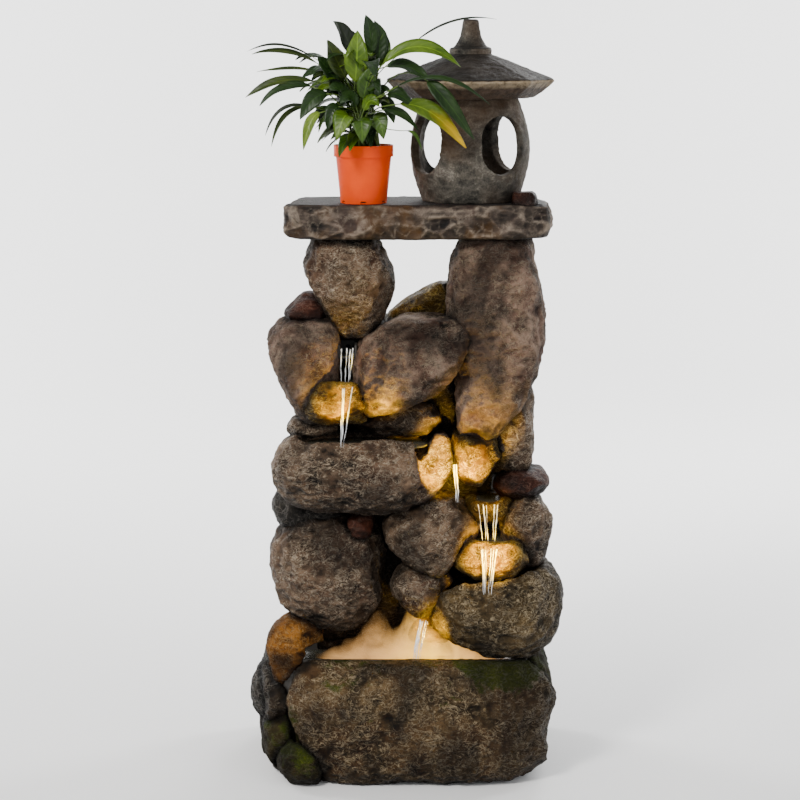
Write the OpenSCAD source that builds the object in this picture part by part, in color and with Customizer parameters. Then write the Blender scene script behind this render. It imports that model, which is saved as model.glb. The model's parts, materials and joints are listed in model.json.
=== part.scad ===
// Floor-standing cascade fountain: stacked cast rocks round a hollow pump column,
// with a slab top that carries a lift-off lantern and a potted plant.
// Origin: centre of the resting face under the basin. +Z up, -Y is the front.

/* [Rock tower] */
// Width of the rock layout
rock_w = 480; // [400:10:580]
// Depth of the rock layout
rock_d = 320; // [265:5:385]
// Height from the floor to the underside of the slab
rock_h = 828; // [690:6:996]
// Mortar gap left between bonded rocks
bond_gap = 0.4; // [0.3:0.1:1]
// Depth of the random bulges, as a share of a rock's width
rock_lump = 0.03; // [0.01:0.01:0.05]

/* [Basin and column] */
// Wall of the basin tub
basin_wall = 6; // [4:0.5:9]
// Floor of the basin tub
basin_floor = 10; // [6:1:14]
// Corner radius of the basin tub
basin_corner = 40; // [20:5:60]
// Wall of the hollow column
core_wall = 6; // [4:0.5:9]
// Height of the rubber feet
pad_h = 3; // [2:0.5:6]
// Radius of the middle foot
pad_r = 40; // [25:5:60]
// Width of the rear access opening
access_w = 140; // [100:5:170]
// Height of the rear access opening
access_h = 210; // [150:10:260]
// Height of the access opening's lower edge
access_z = 215; // [205:5:250]
// Clearance of the access cover in its opening
cover_clear = 0.6; // [0.3:0.1:1.5]
// Overlap of the access cover's flange on the column
cover_lap = 8; // [5:1:12]
// Thickness of the access cover
cover_t = 3; // [2:0.5:5]

/* [Slab] */
// Thickness of the slab top
slab_t = 52; // [35:1:65]

/* [Lantern] */
// Height of the lantern house
house_h = 156; // [120:2:190]
// Outer radius of the house at its foot and top
house_end_r = 73; // [61:1:88]
// Swell of the house at mid height
house_swell = 18; // [8:1:24]
// Wall of the house
house_wall = 13; // [9:1:16]
// Half width of a window
window_r = 37; // [28:1:42]
// Extra half height of a window
window_rise = 7; // [0:1:15]
// Corner radius of the eight-sided roof
roof_r = 128; // [106:1:154]
// Clearance of the roof's collar in the house
collar_clear = 0.6; // [0.3:0.1:1.5]
// Depth of the roof's collar
collar_h = 7; // [4:1:12]

/* [Plant] */
// Rim diameter of the nursery pot
pot_d = 90; // [76:2:108]
// Height of the nursery pot
pot_h = 87; // [72:1:104]
// Wall of the nursery pot
pot_wall = 1.6; // [1.2:0.2:2.4]
// Gap between the pot's rim and the lantern
pot_gap = 26; // [20:1:40]

/* [Pump and fittings] */
// Width of the pump
pump_w = 56; // [46:1:66]
// Depth of the pump
pump_d = 50; // [46:1:60]
// Height of the pump
pump_h = 46; // [42:1:56]
// Radius of the impeller chamber
chamber_r = 17; // [15:0.5:19]
// Inner radius of the riser hose
hose_r = 6.2; // [5:0.2:8]
// Wall of the riser hose
hose_wall = 2; // [1.5:0.5:3]
// Radius of a light pod
led_r = 13; // [10:0.5:15]
// Bore of the cable gland
gland_bore_r = 3.2; // [2.5:0.1:4.5]

/* [Hidden] */
$fn = 48;

// One layout module is 10 mm in the standard size
ux = rock_w / 48;
uy = rock_d / 32;
uz = rock_h / 82.8;

// Basin and column, from the same modules as the rocks
basin_x = 20 * ux;
basin_front = -12.5 * uy;
basin_back = 11.5 * uy;
basin_top = 18.5 * uz;
basin_base = pad_h + basin_floor;
core_x = 13.2 * ux;
core_front = -2 * uy;
core_back = 9.5 * uy;
core_top = 67.5 * uz;
panel_y = core_back + bond_gap;
cover_y = panel_y + core_wall;
slab_z = rock_h;
slab_top = slab_z + slab_t;
lantern_x = 10.7 * ux;
lantern_z = slab_top;
pot_r = pot_d / 2;
pot_x = lantern_x - house_end_r - house_swell - pot_gap - pot_r;
pot_y = -4 * uy;
pump_x = -8 * ux;
pump_y = 3.6 * uy;
cup_h = 7;
pump_z = basin_base + cup_h;
gland_x = 10.5 * ux;
gland_z = access_z + 25;
gland_end = 12.6 * uy;
eps = 0.01;

// ---- Rocks -------------------------------------------------------------
// A rock is a stack of rounded sections. Each station is, in layout modules,
// [height, left, right, front, back]; sections between stations are smoothed.

SIDES = 16;
ROWS = 9;

// Name, seed, squareness (1 round, 0.3 boxy), stations; a later rock is cut back from an earlier one
ROCKS = [
  ["front_boulder", 1, 0.72, [[0.3, -13, 16.5, -16.5, -7], [1.6, -16, 22, -18.4, -6],
    [6, -17.5, 22.9, -19, -6], [12, -17.5, 23.1, -18.8, -6], [16, -16.9, 22.6, -17.6, -7],
    [18.9, -14.6, 19, -15.4, -8.5]]],
  ["base_corner_stone", 2, 0.85, [[0.3, -17.5, -11.5, -17, -10], [2, -19.4, -10.6, -18.8, -9],
    [4.5, -19, -10.9, -18.5, -9], [6.7, -16.5, -13, -15.5, -11]]],
  ["base_moss_stone", 3, 0.85, [[0.4, -19, -14.5, -12, -5], [2.5, -20.8, -13.8, -14.5, -4],
    [5.5, -21.3, -13.6, -15.3, -4], [8.5, -20.6, -14, -14.5, -4], [10.5, -18.5, -15.5, -11.5, -6]]],
  ["base_dark_stone", 4, 0.85, [[6.5, -21, -17.5, -8, 0], [9, -22.8, -17, -10, 2],
    [11.6, -23.2, -16.8, -10.5, 3], [14.5, -22.4, -16.8, -10, 3], [17.2, -20, -17.3, -7, 0]]],
  ["base_orange_stone", 5, 0.85, [[13.6, -19, -14, -13, -5], [17, -20.2, -12.2, -14.2, -3],
    [21.5, -20.3, -12, -12.5, -3], [23.4, -18.8, -13, -11, -4], [24.5, -17, -14.5, -9, -5.5]]],
  ["base_right_stone", 6, 0.7, [[0.3, 16, 21, -11, 4], [3, 15, 23, -13, 7], [9, 15, 23.4, -13.5, 7.5],
    [15, 15, 23.1, -12.5, 7], [19, 16.5, 21.5, -9, 4]]],
  ["base_left_rear_stone", 7, 0.6, [[0.3, -20, -14, -10, 10.5], [3, -21.6, -13, -12.5, 12.6],
    [9, -22, -13, -13, 12.8], [15, -21.6, -13, -12.5, 12.4], [19.2, -20, -14.5, -10, 10.5]]],
  ["base_right_rear_stone", 8, 0.6, [[0.3, 12, 20.5, 5, 11.5], [3, 10.5, 22, 2, 12.8],
    [9, 10, 22.6, 1, 13], [15, 10.5, 22, 2, 12.6], [19.4, 12, 20, 5, 11]]],
  ["base_rear_stone", 9, 0.5, [[0.3, -15, 13, 9, 12.2], [3, -16.5, 14, 8, 13],
    [10, -16.8, 14.3, 8, 13], [16, -16.5, 14, 8, 12.9], [19.3, -15, 12.5, 9, 12.2]]],
  ["lower_left_boulder", 10, 0.78, [[22.6, -14.5, -6.5, -10, -1], [25, -17.4, -3.6, -12.3, 2],
    [29, -20.1, -2.5, -13, 4], [33.5, -20, -2.3, -12.6, 5], [37.5, -18.8, -3.4, -11, 5],
    [40.6, -15.5, -7.5, -8, 2]]],
  ["lower_right_bowl", 11, 0.78, [[18.4, 13, 20, -12, 0], [20.3, 8, 23, -14.6, 4],
    [23.2, 4.5, 24.8, -15.2, 5], [26.5, 4.3, 25.4, -15.3, 5], [29.3, 6.3, 25.3, -14.8, 5],
    [31.9, 13, 23, -12, 2]]],
  ["centre_stone", 12, 0.85, [[24.5, 1.5, 4.8, -10, -3], [26.3, -0.4, 6.6, -11.6, -1],
    [28.8, -1.5, 8, -12.3, 0], [30.8, -0.9, 7.8, -11.5, 0], [32.2, 1.5, 5, -9, -2]]],
  ["splash_stone", 13, 0.85, [[14, 2, 9, -7.5, -2.2], [17, 0.5, 12, -9, -2.1],
    [21, 0.8, 12.5, -9, -2.1], [24.6, 2, 9, -7, -2.2]]],
  ["middle_bowl", 14, 0.72, [[41.5, -13, 0, -12, 0], [43, -17, 4.5, -14.4, 2],
    [46, -19.7, 7.9, -15.7, 3.5], [49.5, -19.8, 8.8, -15.7, 3.5], [52.8, -15.8, 6.6, -13.2, 2]]],
  ["small_stone", 15, 0.85, [[37, -7.5, -5, -10, -2], [38.3, -8.6, -4.2, -11.5, -1],
    [39.8, -8.4, -4.2, -11.5, -1], [41.3, -7.2, -5.2, -9, -2]]],
  ["wedge_stone", 16, 0.6, [[35, -17, -7, -6, 3], [38, -19.3, -6, -8.5, 4.5],
    [41.5, -19.3, -6, -8.5, 4.5], [45, -17, -7, -6, 3]]],
  ["mid_left_stone", 17, 0.85, [[31.8, 4, 7, -12, -3], [33.5, 0.4, 9.3, -13.2, -1],
    [36.5, -2.2, 11.8, -14, 0], [40, -2, 11.6, -13, 0.5], [43, 2, 8, -10.5, -2]]],
  ["mid_right_stone", 18, 0.85, [[32.2, 19, 21.8, -8, -1], [34, 16.8, 22.5, -10.3, 0.5],
    [37.5, 15.8, 22.9, -11, 1], [40.8, 15.7, 23.1, -10.5, 1], [43.5, 18.5, 21, -6.5, -1.5]]],
  ["mid_spill_stone", 19, 0.8, [[31.2, 11.5, 17, -12.5, -4], [33, 8.6, 19.8, -14.2, -2],
    [35.2, 8, 20.2, -14.2, -1], [36.8, 9, 19.2, -12.8, -1.5]]],
  ["mid_ledge_stone", 20, 0.7, [[39.6, 11, 16.5, -9, -1], [41, 10.2, 17.2, -10, 0],
    [42.6, 10.4, 17, -9.6, 0]]],
  ["upper_right_stone", 21, 0.8, [[56.3, -7.8, -3.5, -11, -2], [58.6, -7.8, 4.2, -13.2, 0],
    [62, -7.1, 8.3, -13.6, 1], [65.5, -6.5, 10.9, -13, 2], [68.3, -4.6, 11.3, -11.6, 2],
    [70.4, 0.5, 9.5, -8.5, 0]]],
  ["upper_left_stone", 22, 0.75, [[55, -15, -10, -10, -1], [57.5, -16.8, -9.8, -11.6, 1],
    [62, -18.5, -9.7, -12.2, 2], [66.5, -20, -9.5, -11.8, 3], [69, -19.5, -9.7, -10.5, 3],
    [70.4, -17, -11.2, -8, 1]]],
  ["upper_spill_stone", 23, 0.7, [[55.2, -13, -5, -11, -3], [57, -15, -4, -13.2, -2.1],
    [60, -15, -4, -13.2, -2.1], [61.4, -14, -5, -12.2, -2.5]]],
  ["right_pillar", 24, 0.72, [[51, 9.4, 13.6, -9, -2.5], [54, 8.4, 16, -10.2, -2.1],
    [60, 8.2, 20.4, -9.9, 4], [66.5, 7.9, 22.5, -9.5, 6], [72, 7.3, 22.1, -8.8, 6],
    [78, 7.6, 21, -7.8, 5.5], [82.76, 8.6, 20.3, -6.8, 4.5]]],
  ["pillar_foot", 25, 0.8, [[45.6, 9.6, 13.4, -10, -3], [47.6, 8.3, 15.2, -11.6, -2.1],
    [51, 8.2, 15.2, -11.2, -2.1], [54.5, 9, 14.2, -9.5, -2.1]]],
  ["red_stone_right", 26, 0.85, [[42.8, 15.8, 21.5, -7, 0], [44.2, 14.7, 22.8, -9, 1],
    [45.6, 15, 22.8, -8.5, 1], [46.6, 16.5, 21.5, -6.5, 0]]],
  ["pillar_rear", 27, 0.7, [[45.6, 14.5, 20, -5.5, 4], [50, 14, 20.6, -7, 5],
    [55, 14, 20.6, -7, 5], [60, 14.5, 20.4, -6, 4]]],
  ["ledge_stone_left", 28, 0.8, [[52, -16.8, -10.5, -7, 0], [53.4, -17.5, -9.8, -8.5, 1],
    [54.9, -16.5, -10.5, -7.5, 0]]],
  ["ledge_stone_right", 29, 0.8, [[52.8, -6, 5, -8, 0], [54.6, -7.4, 6.3, -9.5, 1],
    [56.9, -5.5, 5, -7.5, 0]]],
  ["left_pillar", 30, 0.8, [[67.6, -9, -4, -6, 0], [70.5, -11.2, -2.3, -8, 2],
    [75, -13.2, -1.1, -9, 3.5], [79, -14.4, -1.8, -9, 3.8], [82.76, -13.4, -3.6, -7.5, 3]]],
  ["red_stone_left", 31, 0.85, [[69.4, -17, -10, -7, 1], [71, -17.6, -9.7, -8, 2],
    [72.8, -16, -11.3, -6.5, 1.5], [73.8, -14.8, -13, -4, 0]]],
  ["ridge_stone", 32, 0.85, [[67.6, -3, 5, 1, 6], [70, -1.6, 7, 0, 7], [72.5, 1.8, 8.4, 0, 7],
    [74.8, 5.5, 8.6, 1, 5]]],
  ["column_skin", 33, 0.32, [[19, -15, 15, -3, 11.2], [26, -15.8, 16, -3.4, 12.1],
    [43, -15.9, 15.8, -3.3, 12], [60, -15.4, 15.2, -3.4, 12], [69, -14.6, 14.4, -2.9, 11.2]]]
];

// Hollows that hold or pass water: owner, squareness, stations
HOLLOWS = [
  ["middle_bowl", 0.7, [[48, -13, 2, -10.8, -3.5], [50, -14.8, 4.6, -12.4, -2.8],
    [54, -15.6, 5.6, -13, -2.4]]],
  ["middle_bowl", 0.8, [[45.6, 4, 8, -15.5, -10.5], [47.5, 2.6, 9.8, -17.5, -9.2],
    [54, 1.4, 11, -19, -8]]],
  ["lower_right_bowl", 0.75, [[26.5, 9, 20, -11.4, -3], [28.5, 7.6, 21, -12.2, -2.2],
    [33, 6.6, 21.6, -12.8, -2]]],
  ["lower_right_bowl", 0.5, [[26.8, 1, 10, -10.6, -6.6], [33, 0, 10, -11.2, -6]]],
  ["mid_spill_stone", 0.8, [[34, 11.4, 16.8, -11.2, -3.5], [38, 10, 18.2, -11.9, -2.6]]],
  ["mid_ledge_stone", 0.7, [[41.8, 11.8, 15.6, -8.6, -2.6], [44, 11.4, 16, -10.6, -2.3]]],
  ["upper_spill_stone", 0.6, [[59.4, -10.5, -6, -10.8, -3.2], [62, -11.5, -5.4, -11.4, -2.9]]]
];

// Smooth value between stations: Catmull-Rom through the neighbours
function blend(a, b, c, d, t) =
  0.5 * (2 * b + (c - a) * t + (2 * a - 5 * b + 4 * c - d) * t * t + (3 * b - a - 3 * c + d) * t * t * t);
function section(stations, u) =
  let (last = len(stations) - 1, i = min(floor(u), last - 1))
  blend(stations[max(i - 1, 0)], stations[i], stations[i + 1], stations[min(i + 2, last)], u - i);
function signed_pow(v, e) = sign(v) * pow(abs(v), e);
function bulge(a, z, seed) =
  1 + rock_lump * (sin(2 * a + 97 * seed + 24 * z) + 0.7 * sin(3 * a - 61 * seed + 41 * z)
    + 0.5 * sin(5 * a + 31 * seed - 33 * z));
function ring(s, z_shift, grow, e, seed) = [
  for (k = [0 : SIDES - 1])
    let (a = 360 * k / SIDES, f = bulge(a, s[0], seed))
    [((s[1] + s[2]) * ux + signed_pow(cos(a), e) * f * ((s[2] - s[1]) * ux + 2 * grow)) / 2,
     ((s[3] + s[4]) * uy + signed_pow(sin(a), e) * f * ((s[4] - s[3]) * uy + 2 * grow)) / 2,
     s[0] * uz + z_shift]
];
function sum(values, i = 0) = i < len(values) ? values[i] + sum(values, i + 1) : 0;
function mean(points) = [for (i = [0 : 2]) sum([for (p = points) p[i]]) / len(points)];

// Closed skin over a stack of rings that all have n points
module skin(rings) {
  n = len(rings[0]);
  m = len(rings);
  points = concat([for (r = rings) for (p = r) p], [mean(rings[0]), mean(rings[m - 1])]);
  walls = [
    for (r = [0 : m - 2], k = [0 : n - 1])
      let (a = r * n + k, b = r * n + (k + 1) % n)
      each [[a, a + n, b], [b, a + n, b + n]]
  ];
  base = [for (k = [0 : n - 1]) [m * n, k, (k + 1) % n]];
  lid = [for (k = [0 : n - 1]) [m * n + 1, (m - 1) * n + (k + 1) % n, (m - 1) * n + k]];
  polyhedron(points, concat(walls, base, lid));
}

module rock_skin(stations, e, seed, grow = 0, rows = ROWS) {
  last = len(stations) - 1;
  skin([
    for (r = [0 : rows - 1])
      let (shift = r == 0 ? -grow : (r == rows - 1 ? grow : 0))
      ring(section(stations, last * r / (rows - 1)), shift, grow, e, seed)
  ]);
}

function low(stations, i) = min([for (s = stations) s[i]]);
function high(stations, i) = max([for (s = stations) s[i]]);
function span_meets(a, b, i, j) = low(a, i) < high(b, j) + 1 && low(b, i) < high(a, j) + 1;
function meets(a, b) = span_meets(a, b, 0, 0) && span_meets(a, b, 1, 2) && span_meets(a, b, 3, 4);

// A rock as it sits in the tower: cut back from its earlier neighbours, the basin and the column
module bonded(name) {
  i = search([name], ROCKS)[0];
  stations = ROCKS[i][3];
  difference() {
    rock_skin(stations, ROCKS[i][2], ROCKS[i][1]);
    for (j = [0 : 1 : i - 1])
      if (meets(stations, ROCKS[j][3]))
        rock_skin(ROCKS[j][3], ROCKS[j][2], ROCKS[j][1], bond_gap);
    for (h = HOLLOWS)
      if (h[0] == name)
        rock_skin(h[2], h[1], 50, 0, 5);
    if (high(stations, 4) > -2 && name != "column_skin")
      column_block(bond_gap);
    if (low(stations, 0) < 18.5)
      basin_block(bond_gap);
    if (low(stations, 0) * uz < hose_top + trough_h / 2 && high(stations, 0) * uz > hose_top)
      spout_room(bond_gap);
    for (p = LEDS)
      if (low(stations, 0) * uz < p[2] + led_h && high(stations, 0) * uz > p[2])
        translate([p[0], p[1], p[2] - bond_gap])
          cylinder(h = led_h + 4, r = led_r + bond_gap);
  }
}

module column_block(grow = 0) {
  translate([-core_x - grow, core_front - grow, basin_base - grow])
    cube([2 * (core_x + grow), core_back - core_front + 2 * grow, core_top - basin_base + 2 * grow]);
}

// The basin's outside with the feet's room below it and the open air above
module basin_block(grow) {
  translate([0, 0, -1])
    linear_extrude(basin_top + 2 * uz + 1)
      basin_outline(grow);
}

module basin_outline(grow = 0) {
  x = basin_x + grow;
  y0 = basin_front - grow;
  y1 = basin_back + grow;
  r = basin_corner + grow;
  difference() {
    translate([-x, y0])
      square([2 * x, y1 - y0]);
    for (sx = [-1, 1], sy = [-1, 1])
      translate([sx * x, sy > 0 ? y1 : y0])
        corner_waste(r, sx, sy);
  }
}

// What a rounded corner removes from a square one
module corner_waste(r, sx, sy) {
  difference() {
    square(2 * r, center = true);
    translate([-sx * r, -sy * r])
      circle(r);
    translate([-sx * (2 * r + eps), 0])
      square([2 * r, 4 * r], center = true);
    translate([0, -sy * (2 * r + eps)])
      square([4 * r, 2 * r], center = true);
  }
}

// ---- Basin, column and feet --------------------------------------------

module foot_pads() {
  color("#1b1b1d") {
    cylinder(h = pad_h, r = pad_r);
    for (sx = [-1, 1], y = [basin_front + 45, basin_back - 45])
      translate([sx * (basin_x - 45), y, 0])
        cylinder(h = pad_h, r = pad_r / 2);
  }
}

module basin_shell() {
  color("#26221f")
    difference() {
      translate([0, 0, pad_h])
        linear_extrude(basin_top - pad_h)
          basin_outline();
      translate([0, 0, basin_base])
        linear_extrude(basin_top)
          basin_outline(-basin_wall);
    }
}

// Return water passes under an arch in the column's front wall
return_w = 100;
return_h = 90;

// An open-backed casting: a boxed channel with a rock skin over its front and sides
module column_core() {
  inside = core_x - core_wall;
  color("#3d352e")
    difference() {
      union() {
        column_block();
        skin_part(core_front - 5 * uy, core_back);
      }
      translate([-inside, core_front + core_wall, basin_base - 1])
        cube([2 * inside, core_back - core_front, core_top - basin_base + 1 - core_wall]);
      translate([-return_w / 2, core_front - 1, basin_base - 1])
        cube([return_w, core_wall + 2, return_h]);
      spout_room(bond_gap, 6 * uz);
      translate([pump_x, core_front - 1, hose_top])
        rotate([-90, 0, 0])
          cylinder(h = core_wall + 2, r = spout_stub_r + bond_gap);
    }
}

// The rock skin between two depths
module skin_part(y0, y1) {
  intersection() {
    bonded("column_skin");
    translate([-rock_w / 2, y0, 0])
      cube([rock_w, y1 - y0, rock_h]);
  }
}

// Closes the back of the column, with a stepped opening for the access cover
module rear_panel() {
  margin = cover_lap + 6;
  color("#4a4038")
    difference() {
      skin_part(panel_y, 14 * uy);
      translate([-access_w / 2, panel_y - 1, access_z])
        cube([access_w, 6 * uy, access_h]);
      translate([-access_w / 2 - margin, cover_y, access_z - margin])
        cube([access_w + 2 * margin, 5 * uy, access_h + 2 * margin]);
      translate([gland_x, panel_y - 1, gland_z])
        rotate([-90, 0, 0])
          cylinder(h = core_wall + 2, r = gland_r + bond_gap);
      translate([gland_x, cover_y, gland_z])
        rotate([-90, 0, 0])
          cylinder(h = 5 * uy, r = gland_flange_r + 1);
    }
}

module access_cover() {
  plug = core_wall + cover_clear;
  rib = cover_clear + cover_t;
  color("#3a332d")
    difference() {
      union() {
        translate([-access_w / 2 - cover_lap, cover_y + cover_clear, access_z - cover_lap])
          cube([access_w + 2 * cover_lap, cover_t, access_h + 2 * cover_lap]);
        translate([-access_w / 2 + cover_clear, cover_y - plug + cover_clear, access_z + cover_clear])
          cube([access_w - 2 * cover_clear, plug + cover_t, access_h - 2 * cover_clear]);
      }
      translate([-access_w / 2 + rib, cover_y - plug - 1, access_z + rib])
        cube([access_w - 2 * rib, plug + 1 + cover_clear, access_h - 2 * rib]);
    }
}

pull_r = 9;

module cover_pull() {
  color("#2a2622")
    translate([0, cover_y + cover_clear + cover_t, access_z + access_h * 0.8])
      rotate([-90, 0, 0])
        rotate_extrude()
          polygon([[0, 0], [pull_r - 3, 0], [pull_r - 4, 6], [pull_r, 10], [pull_r, 13],
            [pull_r - 1.5, 15], [0, 15]]);
}

// ---- Rock nodes ---------------------------------------------------------

module front_boulder() color("#5b4a3a") bonded("front_boulder");
module base_corner_stone() color("#4d4a2c") bonded("base_corner_stone");
module base_moss_stone() color("#3f4a24") bonded("base_moss_stone");
module base_dark_stone() color("#35322f") bonded("base_dark_stone");
module base_orange_stone() color("#8a5a2a") bonded("base_orange_stone");
module base_right_stone() color("#4a4034") bonded("base_right_stone");
module base_left_rear_stone() color("#4a4036") bonded("base_left_rear_stone");
module base_right_rear_stone() color("#463d34") bonded("base_right_rear_stone");
module base_rear_stone() color("#4a4036") bonded("base_rear_stone");
module lower_left_boulder() color("#5a4d42") bonded("lower_left_boulder");
module lower_right_bowl() color("#5c5040") bonded("lower_right_bowl");
module centre_stone() color("#5a4a38") bonded("centre_stone");
module splash_stone() color("#6b5334") bonded("splash_stone");
module middle_bowl() color("#55473c") bonded("middle_bowl");
module small_stone() color("#4c3c3a") bonded("small_stone");
module wedge_stone() color("#322d2a") bonded("wedge_stone");
module mid_left_stone() color("#54483e") bonded("mid_left_stone");
module mid_right_stone() color("#4f453b") bonded("mid_right_stone");
module mid_spill_stone() color("#7a5a2a") bonded("mid_spill_stone");
module mid_ledge_stone() color("#6a4a22") bonded("mid_ledge_stone");
module upper_right_stone() color("#5e5243") bonded("upper_right_stone");
module upper_left_stone() color("#5a5045") bonded("upper_left_stone");
module upper_spill_stone() color("#7a5c30") bonded("upper_spill_stone");
module right_pillar() color("#5c4a3f") bonded("right_pillar");
module pillar_foot() color("#6e5532") bonded("pillar_foot");
module red_stone_right() color("#5a2e26") bonded("red_stone_right");
module pillar_rear() color("#453c35") bonded("pillar_rear");
module ledge_stone_left() color("#45433a") bonded("ledge_stone_left");
module ledge_stone_right() color("#4b4a42") bonded("ledge_stone_right");
module left_pillar() color("#554a42") bonded("left_pillar");
module red_stone_left() color("#6a3426") bonded("red_stone_left");
module ridge_stone() color("#5a4424") bonded("ridge_stone");

// ---- Slab ----------------------------------------------------------------

// Shares of the slab's thickness, then left, right, front and back in modules
slab_stations = [[0, -17.2, 22.3, -8.6, 7.2], [0.12, -17.9, 22.8, -9.1, 7.6], [0.45, -18, 23, -9.2, 7.7],
  [0.85, -17.8, 22.7, -9, 7.5], [1, -17.1, 22, -8.5, 7.1]];
slab_rows = 7;

module slab() {
  last = len(slab_stations) - 1;
  color("#57504a")
    skin([
      for (r = [0 : slab_rows - 1])
        let (s = section(slab_stations, last * r / (slab_rows - 1)))
        [for (p = ring(s, 0, 0, 0.35, 40)) [p[0], p[1], slab_z + slab_t * s[0]]]
    ]);
}

chip_h = 16;

// A flat stone on the slab's front corner, notched round the lantern's foot
module slab_chip() {
  color("#3f2a26")
    difference() {
      translate([18.9 * ux, -5.4 * uy, slab_top])
        linear_extrude(chip_h, scale = 0.85)
          polygon([[-19, -26], [12, -28], [18, -6], [14, 24], [-9, 27], [-20, 4]]);
      translate([lantern_x, 0, slab_top - 1])
        cylinder(h = chip_h + 2, r = house_radius(chip_h / house_h) + 1.5);
    }
}

// ---- Lantern --------------------------------------------------------------

house_steps = 12;
house_base_t = 8;
window_turn = 34;
function house_radius(t) = house_end_r + house_swell * sin(180 * t);

module lantern_house() {
  outer = [for (i = [0 : house_steps]) [house_radius(i / house_steps), house_h * i / house_steps]];
  inner = [for (i = [house_steps : -1 : 1])
    [house_radius(i / house_steps) - house_wall, house_h * i / house_steps]];
  floor_r = house_radius(house_base_t / house_h) - house_wall;
  color("#4b4945")
    translate([lantern_x, 0, lantern_z])
      difference() {
        rotate_extrude($fn = 64)
          polygon(concat([[0, 0]], outer, inner, [[floor_r, house_base_t], [0, house_base_t]]));
        for (a = [0 : 90 : 270])
          rotate(a + window_turn - 90)
            window_cut();
      }
}

module window_cut() {
  reach = house_end_r + house_swell + 10;
  translate([0, 0, house_h * 0.56])
    rotate([0, 90, 0]) {
      for (s = [-1, 1])
        translate([s * window_rise, 0, 20])
          cylinder(h = reach, r = window_r);
      translate([-window_rise, -window_r, 20])
        cube([2 * window_rise, 2 * window_r, reach]);
    }
}

// Roof profile: corner radius share, height share, and how far the ring is eight-sided
roof_h = 65;
ROOF = [[0.75, 0, 0.6], [0.85, 0.13, 0.9], [0.94, 0.27, 1], [1, 0.39, 1], [0.985, 0.445, 1], [0.87, 0.54, 1],
  [0.7, 0.66, 1], [0.5, 0.82, 0.9], [0.33, 0.95, 0.6], [0.25, 1, 0]];
// Neck profile: radius share and height share; a thick ledge, then a waisted post
NECK = [[1.86, 0], [1.9, 0.1], [1.84, 0.19], [1.5, 0.23], [1.2, 0.37], [0.97, 0.52], [0.83, 0.71],
  [0.7, 0.96], [0.6, 1]];
roof_points = 32;
function octagon_share(a) = cos(22.5) / cos((a + 360) % 45 - 22.5);
neck_r = 17;
neck_h = 53;

module lantern_roof() {
  collar_r = house_end_r - house_wall - collar_clear;
  color("#4e4a46")
    translate([lantern_x, 0, lantern_z + house_h]) {
      skin([
        for (s = ROOF)
          [for (k = [0 : roof_points - 1])
            let (a = 360 * k / roof_points, r = roof_r * s[0] * (1 - s[2] + s[2] * octagon_share(a)))
            [r * cos(a - 3), r * sin(a - 3), roof_h * s[1]]]
      ]);
      translate([0, 0, -collar_h])
        difference() {
          cylinder(h = collar_h + 2, r = collar_r);
          translate([0, 0, -1])
            cylinder(h = collar_h + 1, r = collar_r - 6);
        }
      translate([0, 0, roof_h - 1])
        rotate_extrude()
          polygon(concat([[0, 0]], [for (s = NECK) [neck_r * s[0], neck_h * s[1]]], [[0, neck_h]]));
    }
}

// ---- Plant ----------------------------------------------------------------

rim_h = 17;
pot_taper = 10;
soil_drop = 12;

module plant_pot() {
  foot_r = pot_r - pot_taper;
  neck = pot_r - 3;
  color("#e06a2c")
    translate([pot_x, pot_y, slab_top])
      difference() {
        rotate_extrude($fn = 64)
          polygon([[0, 0], [foot_r, 0], [neck, pot_h - rim_h], [pot_r, pot_h - rim_h], [pot_r, pot_h],
            [pot_r - pot_wall, pot_h], [pot_r - 3 - pot_wall, pot_h - rim_h], [foot_r - pot_wall, 2], [0, 2]]);
        for (a = [0 : 60 : 300])
          rotate(a - 90)
            translate([foot_r - 2, -4, -1])
              cube([10, 8, 5]);
      }
}

module potting_soil() {
  gap = 0.3;
  foot_r = pot_r - pot_taper - pot_wall - gap;
  top_r = pot_r - 3 - pot_wall - gap;
  top_z = pot_h - soil_drop - gap - 2;
  color("#2c1f16")
    translate([pot_x, pot_y, slab_top + 2 + gap])
      rotate_extrude()
        polygon([[0, 0], [foot_r, 0], [top_r, pot_h - rim_h - 3], [top_r, top_z], [0, top_z]]);
}

// Room taken by the leaves, from the pot's centre and foot: a crown beside the lantern's roof, and a
// spray that hangs in front of it. Each station is [height, left, right, front, back].
leaf_clear = 6;
crown_right = lantern_x - roof_r - leaf_clear - pot_x;
spray_back = -roof_r - leaf_clear - 4 - pot_y;
spray_right = lantern_x + 34 - pot_x;
CROWN = [[pot_h - soil_drop + 0.6, -0.3 * pot_r, 0.3 * pot_r, -0.3 * pot_r, 0.3 * pot_r],
  [pot_h + 2, -0.6 * pot_r, 0.4 * pot_r, -0.6 * pot_r, 0.6 * pot_r],
  [pot_h + 12, -1.6 * pot_r, min(0.6 * pot_r, crown_right), -1.6 * pot_r, pot_r],
  [pot_h + 45, -140, crown_right, spray_back - 20, 90], [pot_h + 103, -174, crown_right, spray_back - 42, 110],
  [pot_h + 158, -130, crown_right, spray_back - 24, 80], [pot_h + 191, -50, 0.3 * crown_right, -50, 30]];
SPRAY = [[pot_h - 7, 50, spray_right, spray_back - 49, spray_back - 16],
  [pot_h + 43, -50, spray_right + 34, spray_back - 58, spray_back],
  [pot_h + 113, -110, spray_right + 54, spray_back - 62, spray_back],
  [pot_h + 163, -90, spray_right + 48, spray_back - 58, spray_back],
  [pot_h + 189, 20, spray_right + 20, spray_back - 48, spray_back - 12]];

module plant_foliage() {
  color("#3f7a2a")
    translate([pot_x, pot_y, slab_top]) {
      leaf_room(CROWN);
      leaf_room(SPRAY);
    }
}

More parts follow.
